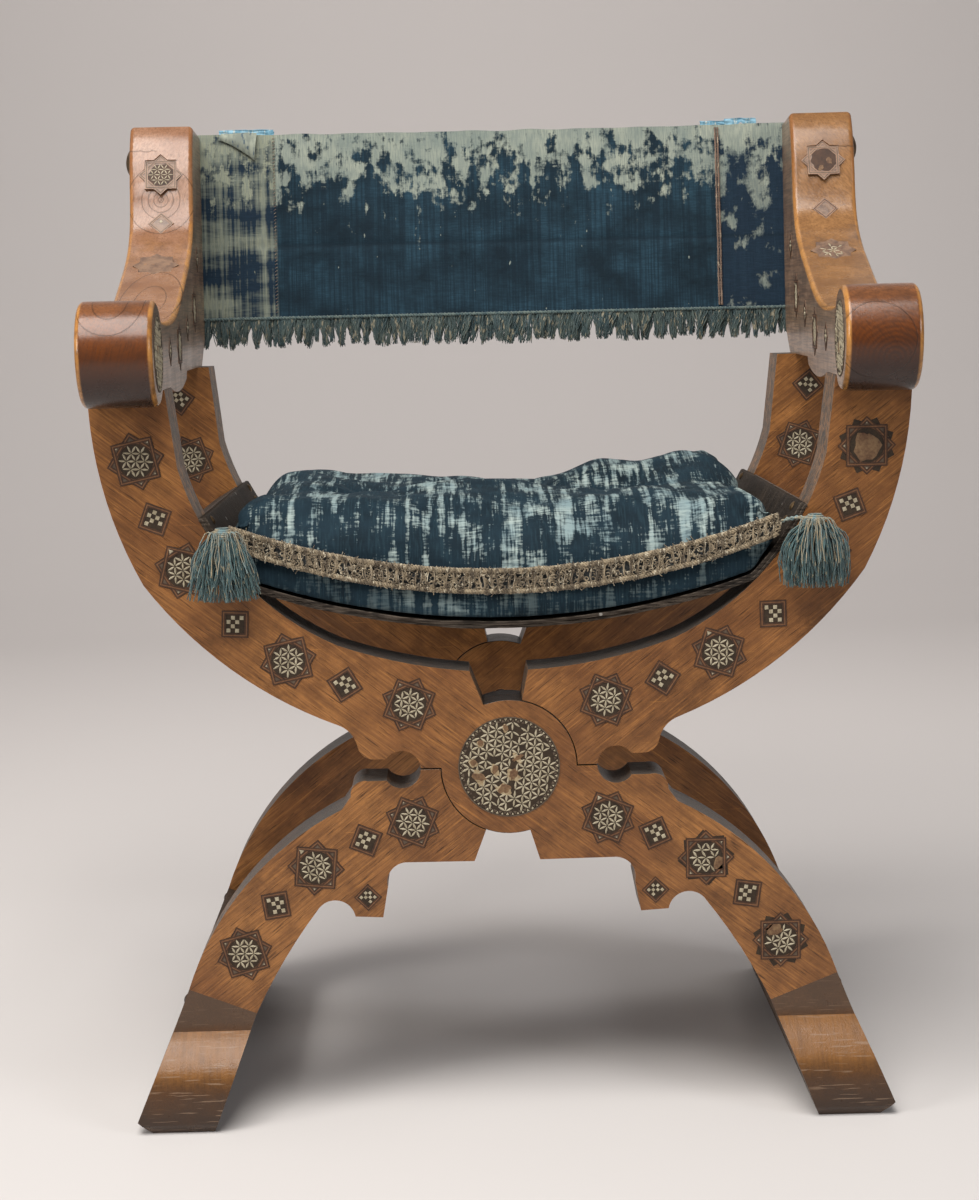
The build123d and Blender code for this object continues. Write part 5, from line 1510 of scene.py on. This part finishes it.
class CHAIR_OT_braid(bpy.types.Operator):
    """Netted braid along the cushion's front edge"""
    bl_idname = "chair.braid"
    bl_label = "Braid"

    def execute(self, context):
        dice = random.Random(5)
        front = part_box("cushion_braid")[0].y
        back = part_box("cushion_braid")[1].y
        upper, lower = braid_lines()
        depth = (front + back) / 2
        paths, thin = [], []
        for edge, inset in ((upper, -0.0022), (lower, 0.0022)):
            centre = [Vector((spot.x, depth + 0.0006 * wave(spot.x, 0, 0.02, inset * 900),
                              spot.z + inset + 0.0007 * wave(spot.x, 0, 0.012, inset * 500)))
                              for spot in edge]
            dense = []
            for before, after in zip(centre, centre[1:]):
                dense += [before, before.lerp(after, 0.5)]
            for phase in (0.0, 2.1, 4.2):
                paths.append(twisted(dense, 0.0015, 0.0075, phase))
        loops = []
        for index in range(NET_BARS):
            at = (index + 0.5 + dice.uniform(-0.22, 0.22)) / NET_BARS * (len(upper) - 1)
            pick = int(at)
            high, low = upper[pick], lower[pick]
            tall = high.z - low.z
            width = 0.0038 * dice.uniform(0.7, 1.25)
            lean = dice.uniform(-0.0022, 0.0022)
            for layer in range(3):
                loop = []
                shift = dice.uniform(-0.0007, 0.0007)
                for turn in range(15):
                    angle = 2 * math.pi * turn / 14
                    loop.append(Vector((high.x + shift + lean * math.cos(angle) + width * (1 - 0.16 * layer) *
                                        math.sin(angle),
                                        depth - 0.0004 - 0.0005 * layer + 0.0007 * math.cos(2 * angle),
                                        low.z + tall / 2 + (tall / 2 - 0.0022) * math.cos(angle))))
                loops.append(loop)
            knot = Vector((high.x + width * 1.15, depth - 0.0012, low.z + tall * dice.uniform(0.42, 0.58)))
            for twist in range(3):
                loops.append([knot + Vector((0.0013 * math.cos(2.1 * step + twist), -0.0005 * (step % 2),
                                             0.0016 * math.sin(2.1 * step + twist)))
                              for step in range(6)])
            after = min(pick + 10, len(upper) - 1)
            for flip in (0, 1):
                start = high.z - 0.004 if flip else low.z + 0.004
                stop = lower[after].z + 0.004 if flip else upper[after].z - 0.004
                for _ in range(3):
                    bow = dice.uniform(-0.002, 0.002)
                    thin.append([Vector((high.x, depth - 0.0002, start + bow * 0.4)),
                                 Vector(((high.x + upper[after].x) / 2, depth - 0.0012,
                                         (start + stop) / 2 + bow)),
                                 Vector((upper[after].x, depth - 0.0002, stop))])
        for _ in range(LOOSE_ENDS):
            pick = dice.randrange(len(upper))
            top = dice.random() < 0.6
            spot = upper[pick] if top else lower[pick]
            start = Vector((spot.x, depth + dice.uniform(-0.001, 0.0008),
                            spot.z + (-1 if top else 1) * dice.uniform(0.0005, 0.004)))
            way = Vector((dice.uniform(-1.2, 1.2), dice.uniform(-0.8, 0.15),
                          (1 if top else -1) * dice.uniform(-0.9, 0.75)))
            size = dice.uniform(0.0015, 0.0042)
            middle = start + way * size * 0.6 + Vector((0, -0.0009, 0))
            end = start + way * size + Vector((dice.uniform(-1, 1), 0, dice.uniform(-1, 1))) * 0.0018
            end.y = max(end.y, front - 0.0015)
            thin.append([start, middle, end])
        for _ in range(SMALL_LOOPS):
            pick = dice.randrange(len(upper))
            high, low = upper[pick], lower[pick]
            centre = Vector((high.x, depth - dice.uniform(0.0004, 0.0022),
                             low.z + (high.z - low.z) * dice.uniform(0.12, 0.9)))
            size, turn, bend = dice.uniform(0.0011, 0.0028), dice.uniform(0, 6.3), dice.uniform(2.0, 5.0)
            loops.append([centre + Vector((size * math.cos(turn + bend * step / 6),
                                           0.0005 * math.sin(step * 1.7),
                                           size * 0.8 * math.sin(turn + bend * step / 6)))
                                           for step in range(7)])
        cords = strands("cords", paths, 0.00105, 1)
        fuzz = joined("fuzz", [strands("fuzz", thin, 0.00036), strands("loops", loops, 0.00050)])

        def rule(u, v):
            spot = u * (len(upper) - 1)
            pick = min(int(spot), len(upper) - 2)
            high = upper[pick].lerp(upper[pick + 1], spot - pick)
            low = lower[pick].lerp(lower[pick + 1], spot - pick)
            return Vector((high.x, back - 0.0006 + 0.0003 * wave(high.x, v, 0.01),
                           low.z + 0.0015 + (high.z - low.z - 0.003) * v))

        tape = grid("tape", 200, 4, rule)
        facing(tape, (0, -1, 0))
        thicken(tape, 0.0008)
        gold = thread_finish("braid thread", (0.29, 0.225, 0.14, 1), (0.075, 0.052, 0.028, 1),
                             (0.46, 0.40, 0.29, 1), 230.0)
        dark = thread_finish("braid tape", (0.028, 0.033, 0.035, 1), (0.05, 0.055, 0.055, 1), None, 200.0)
        paint(cords, gold)
        paint(fuzz, gold)
        paint(tape, dark)
        piece = joined("netted_braid", [cords, fuzz, tape])
        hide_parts("cushion_braid")
        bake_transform(piece)
        return {"FINISHED"}


TASSEL_REACH = 0.0235
TASSEL_THREADS = 380
STRAY_THREADS = 38
HEAD_WRAPS = 7


class CHAIR_OT_tassels(bpy.types.Operator):
    """Silk tassels at the cushion's front corners"""
    bl_idname = "chair.tassels"
    bl_label = "Tassels"

    def execute(self, context):
        silk = thread_finish("tassel silk", (0.018, 0.050, 0.056, 1), (0.060, 0.115, 0.115, 1),
                             (0.21, 0.185, 0.115, 1), 230.0)
        cord = thread_finish("tassel cord", (0.13, 0.21, 0.22, 1), (0.25, 0.20, 0.12, 1),
                             (0.33, 0.28, 0.19, 1), 200.0)
        for side, body, seed in (("left", "frame_a", 4), ("right", "frame_b", 9)):
            dice = random.Random(seed)
            low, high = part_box(f"{side}_tassel")
            middle = Vector(((low.x + high.x) / 2, -0.22465, 0.5193))
            middle.x = -0.237 if side == "left" else 0.262
            skirt, stray = [], []
            for index in range(TASSEL_THREADS):
                angle = dice.uniform(0, 2 * math.pi)
                angle += 0.35 * math.sin(angle * 9 + seed)
                out = math.sqrt(dice.random())
                top = middle + Vector((0.0065 * out * math.cos(angle), 0.005 * out * math.sin(angle),
                                       -0.001 + dice.uniform(-0.001, 0.004)))
                drop = low.z + 0.001 + 0.022 * dice.random() ** 2 + 0.003 * out
                swing = dice.uniform(-0.35, 0.35)
                curl = dice.uniform(0.0006, 0.0026)
                path = []
                for step in range(8):
                    part = step / 7
                    wide = TASSEL_REACH * out * (part ** 0.62
                                          if side == "left" else math.sin(part * 1.9) ** 0.8) * 1.05
                    spot = Vector((top.x + wide * math.cos(angle + swing * part),
                                   top.y + 0.5 * wide * math.sin(angle + swing * part),
                                   top.z + 0.0035 * math.sin(part * 3.1) * out + (drop - top.z) *
                                   part ** 1.15))
                    spot += Vector((math.sin(part * 9 + index), math.cos(part * 7 + index), 0)) * curl * part
                    path.append((*spot, 1.0 - 0.3 * part))
                skirt.append(path)
            for index in range(STRAY_THREADS):
                angle = dice.uniform(0, 2 * math.pi)
                path = []
                for step in range(6):
                    part = step / 5
                    spread = TASSEL_REACH * (0.35 + 0.75 * part) * (0.7 if index % 3 else 1.0)
                    spot = middle + Vector((spread * math.cos(angle), 0.6 * spread * math.sin(angle) - 0.003,
                                            0.004 + 0.006 * math.sin(part * 3) - 0.035 * part * part))
                    spot += Vector((dice.uniform(-1, 1), dice.uniform(-0.5, 0.5),
                                    dice.uniform(-1, 1))) * 0.002 * part
                    path.append(tuple(spot))
                stray.append(path)
            head = []
            for index in range(HEAD_WRAPS * 14 + 1):
                turn = 2 * math.pi * index / 14
                part = index / (HEAD_WRAPS * 14)
                radius = 0.0058 * math.sin(math.pi * (0.18 + 0.66 * part)) + 0.0018
                head.append(middle + Vector((radius * math.cos(turn), radius * math.sin(turn),
                                             0.0085 - 0.0115 * part)))
            collar = []
            for ring in range(3):
                for index in range(17):
                    turn = 2 * math.pi * index / 16
                    collar.append(middle + Vector((0.0074 * math.cos(turn), 0.0066 * math.sin(turn),
                                                   -0.0035 - 0.0017 * (ring + index / 16))))
            corner = Vector((-0.2335 if side == "left" else 0.234, -0.205, 0.5195))
            loop = []
            for step in range(9):
                part = step / 8
                spot = (middle + Vector((0, 0, 0.004))).lerp(corner, part)
                spot.z += 0.003 * math.sin(math.pi * part)
                loop.append(spot)
            ties = [twisted(loop, 0.0012, 0.009, phase) for phase in (0.0, 2.1, 4.2)]
            core = strands("core", [[middle + Vector((0, 0, 0.009)), middle + Vector((0, 0, 0.003)),
                                     middle + Vector((0, 0, -0.008))]], 0.0055, 3)
            pieces = [strands("skirt", skirt, 0.00058), strands("stray", stray, 0.00042),
                      strands("head", [head], 0.00105, 1), strands("collar", [collar], 0.00095, 1),
                      strands("ties", ties, 0.0011, 1), core]
            for made in pieces:
                paint(made, cord if made.name.split(".")[0] in ("head", "collar", "ties", "stray") else silk)
            piece = joined(f"{side}_silk_tassel", pieces)
            carried(piece, body, "tassel", f"{side}_tassel")
        return {"FINISHED"}


# Where the back's sewn panels meet, along X
LEFT_SEAM = -0.2226
RIGHT_SEAM = 0.2412
VELVET_THICKNESS = 0.0030
BESIDE_NAILS = 0.005
POST_START = 0.265
FRINGE_THREADS = 6000


def back_velvet():
    """Deep teal velvet, worn pale along its top and in streaks on the side panels."""
    made, tree, shader = material("back velvet")
    place, _ = place_and_normal(tree)
    x, _, z = parts_of(tree, place)[:3]
    lines = clouds(tree, moved(tree, place, scale=(130, 9, 14)), 1.0, 4.0, 0.6)
    blocks = clouds(tree, moved(tree, place, scale=(75, 9, 62)), 1.0, 4.0, 0.6)
    blots = clouds(tree, moved(tree, place, scale=(34, 20, 24)), 1.0, 5.0, 0.62, 0.3)
    weave = clouds(tree, moved(tree, place, scale=(900, 90, 90)), 1.0, 2.0)
    weft = clouds(tree, moved(tree, place, scale=(90, 90, 900)), 1.0, 2.0)
    ribs = clouds(tree, moved(tree, place, scale=(420, 20, 7)), 1.0, 3.0, 0.6)
    mottle = clouds(tree, moved(tree, place, scale=(1, 1, 1.3)), 20.0, 5.0, 0.65)
    height_share = sum_of(tree, "MULTIPLY_ADD", z, 12.0, -9.74)
    share = sum_of(tree, "MULTIPLY_ADD", lines, 1.5, height_share)
    share = sum_of(tree, "MULTIPLY_ADD", blocks, 3.2, share)
    share = sum_of(tree, "MULTIPLY_ADD", weave, 0.35, share)
    share = sum_of(tree, "MULTIPLY_ADD", weft, 0.35, share)
    band = steps(tree, sum_of(tree, "SUBTRACT", share, 2.7), [(0.36, 0.0), (0.74, 1.0)])
    left = steps(tree, sum_of(tree, "MULTIPLY_ADD", x, 400.0, -400.0 * LEFT_SEAM), [(0.0, 1.0), (1.0, 0.0)])
    right = steps(tree, sum_of(tree, "MULTIPLY_ADD", x, 400.0, -400.0 * RIGHT_SEAM), [(0.0, 0.0), (1.0, 1.0)])
    stripes = clouds(tree, moved(tree, place, scale=(260, 10, 4)), 1.0, 3.0, 0.5)
    bars = clouds(tree, moved(tree, place, scale=(9, 10, 46)), 1.0, 4.0, 0.55)
    strip = sum_of(tree, "MULTIPLY_ADD", bars, 0.75, share_of(tree, stripes, 0.55))
    strip = steps(tree, sum_of(tree, "MULTIPLY_ADD", weft, 0.1, strip), [(0.62, 0.0), (0.80, 0.85)])
    scraps = sum_of(tree, "MULTIPLY_ADD", blots, 0.8, share_of(tree, blocks, 0.35))
    scraps = steps(tree, scraps, [(0.635, 0.0), (0.70, 0.8)])
    sides = sum_of(tree, "MAXIMUM", sum_of(tree, "MULTIPLY", left, strip),
                   sum_of(tree, "MULTIPLY", right, scraps))
    nicks = clouds(tree, moved(tree, place, shift=(1, 0, 3), scale=(150, 20, 70)), 1.0, 2.0)
    nick = steps(tree, nicks, [(0.735, 0.0), (0.76, 0.9)])
    worn = sum_of(tree, "MAXIMUM", sum_of(tree, "MAXIMUM", band, sides), nick)

    pile = blended(tree, steps(tree, mottle, [(0.34, 0.0), (0.66, 1.0)]), (0.005, 0.014, 0.021, 1),
                   (0.019, 0.050, 0.074, 1))
    pile = blended(tree, steps(tree, ribs, [(0.44, 0.6), (0.58, 0.0)]), pile, (0.004, 0.011, 0.018, 1))
    edges = sum_of(tree, "MAXIMUM", left, right)
    pile = blended(tree, share_of(tree, edges, 0.8), pile, (0.010, 0.022, 0.040, 1))
    pile = blended(tree, steps(tree, weft, [(0.42, 0.35), (0.58, 0.0)]), pile, (0.004, 0.012, 0.020, 1))
    # Painted shade in the fold at z 0.775: the pile is darkened in a narrow band along it.
    crease = sum_of(tree, "ABSOLUTE", sum_of(tree, "SUBTRACT", z, 0.775))
    pile = blended(tree, steps(tree, sum_of(tree, "MULTIPLY", crease, 160.0), [(0.1, 0.45), (0.5, 0.0)]),
                   pile,
                   (0.004, 0.011, 0.018, 1))
    tinge = steps(tree, clouds(tree, place, 30.0, 3.0), [(0.35, 0.0), (0.65, 1.0)])
    pale = blended(tree, tinge, (0.29, 0.31, 0.25, 1), (0.19, 0.22, 0.19, 1))
    pale = blended(tree, share_of(tree, left, 0.6), pale, (0.22, 0.225, 0.15, 1))
    pale = blended(tree, steps(tree, weave, [(0.42, 0.45), (0.58, 0.0)]), pale, (0.12, 0.15, 0.145, 1))
    tree.links.new(blended(tree, worn, pile, pale), shader.inputs["Base Color"])
    settled(shader, {"Roughness": 0.8, "Sheen Weight": 0.14, "Sheen Roughness": 0.4,
                     "Sheen Tint": (0.5, 0.7, 0.85, 1), "Specular IOR Level": 0.15})
    height = sum_of(tree, "MULTIPLY_ADD", weave, 0.4, share_of(tree, weft, 0.4))
    height = sum_of(tree, "MULTIPLY_ADD", ribs, 0.7, height)
    height = sum_of(tree, "SUBTRACT", height, share_of(tree, worn, 0.6))
    raise_bump(tree, shader, height, 0.0009, 0.8)
    return made


def torn_scrap(name, columns, left, right, top, drop, depth, seed):
    """A small torn sheet of lining with an uneven lower edge."""
    def rule(u, v):
        x = left + (right - left) * u
        fall = drop * (0.72 + 0.5 * wave(x, 0, 0.008, seed))
        bow = 0.0016 * wave(x, v * 0.02, 0.009, seed + 3)
        return Vector((x + 0.001 * wave(v, u, 0.4, seed), depth(x) + bow,
                       top - fall * (1 - v) + 0.0012 * wave(x, 1, 0.01, seed)))

    scrap = grid(name, columns, 8, rule)
    facing(scrap, (0, -1, 0))
    thicken(scrap, 0.0006)
    return scrap


class CHAIR_OT_back(bpy.types.Operator):
    """The velvet back between the posts, its flap, seams and lining"""
    bl_idname = "chair.back"
    bl_label = "Back"

    def execute(self, context):
        low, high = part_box("back_sling")
        tree = shape_of("back_sling")

        def front(x, z):
            hit = tree.ray_cast(Vector((x, -1.0, z)), Vector((0, 1, 0)))[0]
            return hit.y if hit else None

        columns = 260

        def rule(u, v):
            x = low.x + 0.0005 + (high.x - low.x - 0.001) * u
            z = low.z + 0.0006 + (high.z - low.z - 0.0012) * v
            # Behind the posts, heights just above and below skip the nail holes
            beside = (0.0, BESIDE_NAILS, -BESIDE_NAILS) if abs(x) > POST_START else (0.0,)
            hits = [hit for hit in (front(x, min(high.z - 0.001, max(low.z + 0.001, z + lift)))
                                    for lift in beside)
                    if hit is not None]
            if not hits:
                raise RuntimeError("The back sling has no front face at a point of the velvet")
            y = min(hits)
            free = max(0.0, min(1.0, (0.272 - abs(x)) / 0.03))
            ripple = 0.0016 * wave(x, z * 0.35, 0.055, 3.0) + 0.0007 * wave(x, z * 0.5, 0.022, 6.0)
            ripple += 0.0009 * math.exp(-((z - 0.775) / 0.004) ** 2)
            edge = max(0.0, (v - 0.965) / 0.035)
            z += free * edge * (0.0012 * wave(x, 0.0, 0.03, 9.0) - 0.0006)
            return Vector((x, y + 0.0004 + free * ripple, z))

        piece = grid("velvet_back", columns, 76, rule)
        facing(piece, (0, -1, 0))
        thicken(piece, VELVET_THICKNESS, even=False)
        choose(piece)
        bpy.ops.object.shade_smooth_by_angle(angle=math.radians(50))
        paint(piece, back_velvet())
        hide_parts("back_sling")
        trim = self.trim(front, low, high)
        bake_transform(piece)
        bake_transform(trim)
        return {"FINISHED"}

    def trim(self, front, low, high):
        """Seam cords, a turned-over flap and torn light blue lining along the top."""
        blue = thread_finish("back lining", (0.22, 0.40, 0.50, 1), (0.10, 0.24, 0.33, 1),
                             (0.38, 0.44, 0.42, 1), 160.0)
        grey = thread_finish("flap cloth", (0.26, 0.28, 0.22, 1), (0.15, 0.17, 0.14, 1),
                             (0.05, 0.08, 0.10, 1), 170.0)
        brown = thread_finish("seam cord", (0.20, 0.125, 0.085, 1), (0.10, 0.06, 0.04, 1),
                              (0.33, 0.26, 0.18, 1), 240.0)
        seams = []
        for x, lift in ((RIGHT_SEAM - 0.0012, 0.0009), (RIGHT_SEAM + 0.0014, 0.0006)):
            line = [Vector((x + 0.0004 * wave(0, step * 0.001, 0.02, 2.0),
                            front(x, low.z + 0.004 + (high.z - low.z - 0.008) * step / 80) - lift,
                            low.z + 0.004 + (high.z - low.z - 0.008) * step / 80)) for step in range(81)]
            seams += [twisted(line, 0.0006, 0.006, phase) for phase in (0.0, 3.1)]
        cords = strands("seams", seams, 0.0008, 1)
        stitches = []
        for step in range(52):
            z = low.z + 0.006 + (high.z - low.z - 0.012) * step / 51
            y = front(LEFT_SEAM, z) - 0.0004
            stitches.append([Vector((LEFT_SEAM - 0.0011, y, z)), Vector((LEFT_SEAM, y - 0.0006, z + 0.0008)),
                             Vector((LEFT_SEAM + 0.0012, y, z + 0.0014))])
        stitches = strands("stitches", stitches, 0.00035)
        paint(cords, brown)
        paint(stitches, brown)

        def flap_rule(u, v):
            x = -0.2765 + 0.037 * u - 0.003 * v
            fall = (0.007 + 0.021 * u ** 1.4) * v
            curl = 0.0055 * math.sin(math.pi * min(1.0, v * 0.75)) * (0.35 + 0.65 * u)
            return Vector((x, front(x, high.z - 0.01) - 0.0010 - curl,
                           high.z + 0.0006 - fall + 0.001 * wave(x, v * 0.05, 0.02, 4.0)))

        flap = grid("flap", 26, 16, flap_rule)
        facing(flap, (0, -1, 0))
        thicken(flap, 0.0009)
        paint(flap, grey)

        def behind(x):
            return front(max(-0.27, min(0.27, x)), high.z - 0.01) + 0.0042

        scraps = [
            torn_scrap("lining", 60, -0.279, -0.222, high.z + 0.0042, 0.008, behind, 2.0),
            torn_scrap("lining", 30, 0.225, 0.252, high.z + 0.0030, 0.008, behind, 5.0),
            torn_scrap("lining", 40, 0.250, 0.283, high.z + 0.0052, 0.010, behind, 7.0),
        ]
        for scrap in scraps:
            paint(scrap, blue)
        trim = joined("back_trim", [cords, stitches, flap] + scraps)
        return trim


class CHAIR_OT_fringe(bpy.types.Operator):
    """Silk fringe along the back's lower edge"""
    bl_idname = "chair.fringe"
    bl_label = "Fringe"

    def execute(self, context):
        dice = random.Random(7)
        low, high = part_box("back_fringe")
        tree = shape_of("back_fringe")
        silk = thread_finish("fringe silk", (0.022, 0.050, 0.055, 1), (0.055, 0.080, 0.070, 1),
                             (0.25, 0.22, 0.15, 1), 170.0)

        def middle(x, z):
            hit = tree.ray_cast(Vector((x, -1.0, z)), Vector((0, 1, 0)))[0]
            return hit.y + 0.002 if hit else (low.y + high.y) / 2

        paths = []
        clumps = []
        at = low.x + 0.003
        while at < high.x - 0.003:
            clumps.append((at, dice.uniform(-0.005, 0.005), dice.uniform(0.80, 1.0),
                           dice.uniform(-0.0035, 0.002)))
            at += dice.uniform(0.0025, 0.0062)
        for index in range(FRINGE_THREADS):
            near = min(len(clumps) - 1, max(0, int(dice.random() * len(clumps))))
            at, sway, share, out = clumps[near]
            x = min(high.x - 0.002, max(low.x + 0.002, at + dice.uniform(-0.005, 0.005)))
            tip = at + sway + 0.004 * wave(at, 0, 0.03, 4.0) + dice.gauss(0, 0.0013)
            length = (high.z - low.z) * share * dice.uniform(0.75, 1.0)
            depth = middle(x, (low.z + high.z) / 2) + dice.uniform(-0.0012, 0.0016)
            curl = dice.uniform(0.0003, 0.0013)
            path = []
            for step in range(6):
                part = step / 5
                path.append((x + (tip - x) * part ** 1.3 + curl * math.sin(part * 8 + index),
                             depth + out * math.sin(part * 2.4) + curl * math.cos(part * 7 + index),
                             high.z + 0.0015 - length * part, 1.0 - 0.3 * part))
            paths.append(path)
        threads = strands("threads", paths, 0.00055)
        heading = []
        for index in range(400):
            x = low.x + 0.001 + (high.x - low.x - 0.002) * index / 399
            heading.append(Vector((x, middle(x, (low.z + high.z) / 2) - 0.0012, high.z + 0.0002)))
        header = strands("header", [twisted(heading, 0.0011, 0.006, phase) for phase in (0.0, 3.1)], 0.00125,
                         1)
        paint(threads, silk)
        paint(header, thread_finish("fringe header", (0.035, 0.065, 0.070, 1), (0.095, 0.125, 0.11, 1), None,
                                    200.0))
        piece = joined("silk_fringe", [threads, header])
        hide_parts("back_fringe")
        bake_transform(piece)
        return {"FINISHED"}


class CHAIR_PT_panel(bpy.types.Panel):
    """The chair's pieces in the order they are made"""
    bl_label = "Armchair"
    bl_idname = "CHAIR_PT_panel"
    bl_space_type = "VIEW_3D"
    bl_region_type = "UI"
    bl_category = "Armchair"

    def draw(self, context):
        for group in (context.scene.chair_sizes, context.scene.chair_colours):
            box = self.layout.box()
            for name in group.__annotations__:
                box.prop(group, name)
        for kind in PIECES:
            self.layout.operator(kind.bl_idname)


PIECES = (
    CHAIR_OT_studio,
    CHAIR_OT_members,
    CHAIR_OT_arms,
    CHAIR_OT_runners,
    CHAIR_OT_inlay,
    CHAIR_OT_metal,
    CHAIR_OT_seat_leather,
    CHAIR_OT_cushion,
    CHAIR_OT_braid,
    CHAIR_OT_tassels,
    CHAIR_OT_back,
    CHAIR_OT_fringe,
)
CLASSES = (ChairSizes, ChairColours, CHAIR_PT_panel) + PIECES


def register():
    for kind in CLASSES:
        bpy.utils.register_class(kind)
    bpy.types.Scene.chair_sizes = PointerProperty(type=ChairSizes)
    bpy.types.Scene.chair_colours = PointerProperty(type=ChairColours)


def unregister():
    del bpy.types.Scene.chair_colours
    del bpy.types.Scene.chair_sizes
    for kind in reversed(CLASSES):
        bpy.utils.unregister_class(kind)


def main():
    register()
    for kind in PIECES:
        group, name = kind.bl_idname.split(".")
        getattr(getattr(bpy.ops, group), name)()
    deselect()


if __name__ == "__main__":
    main()
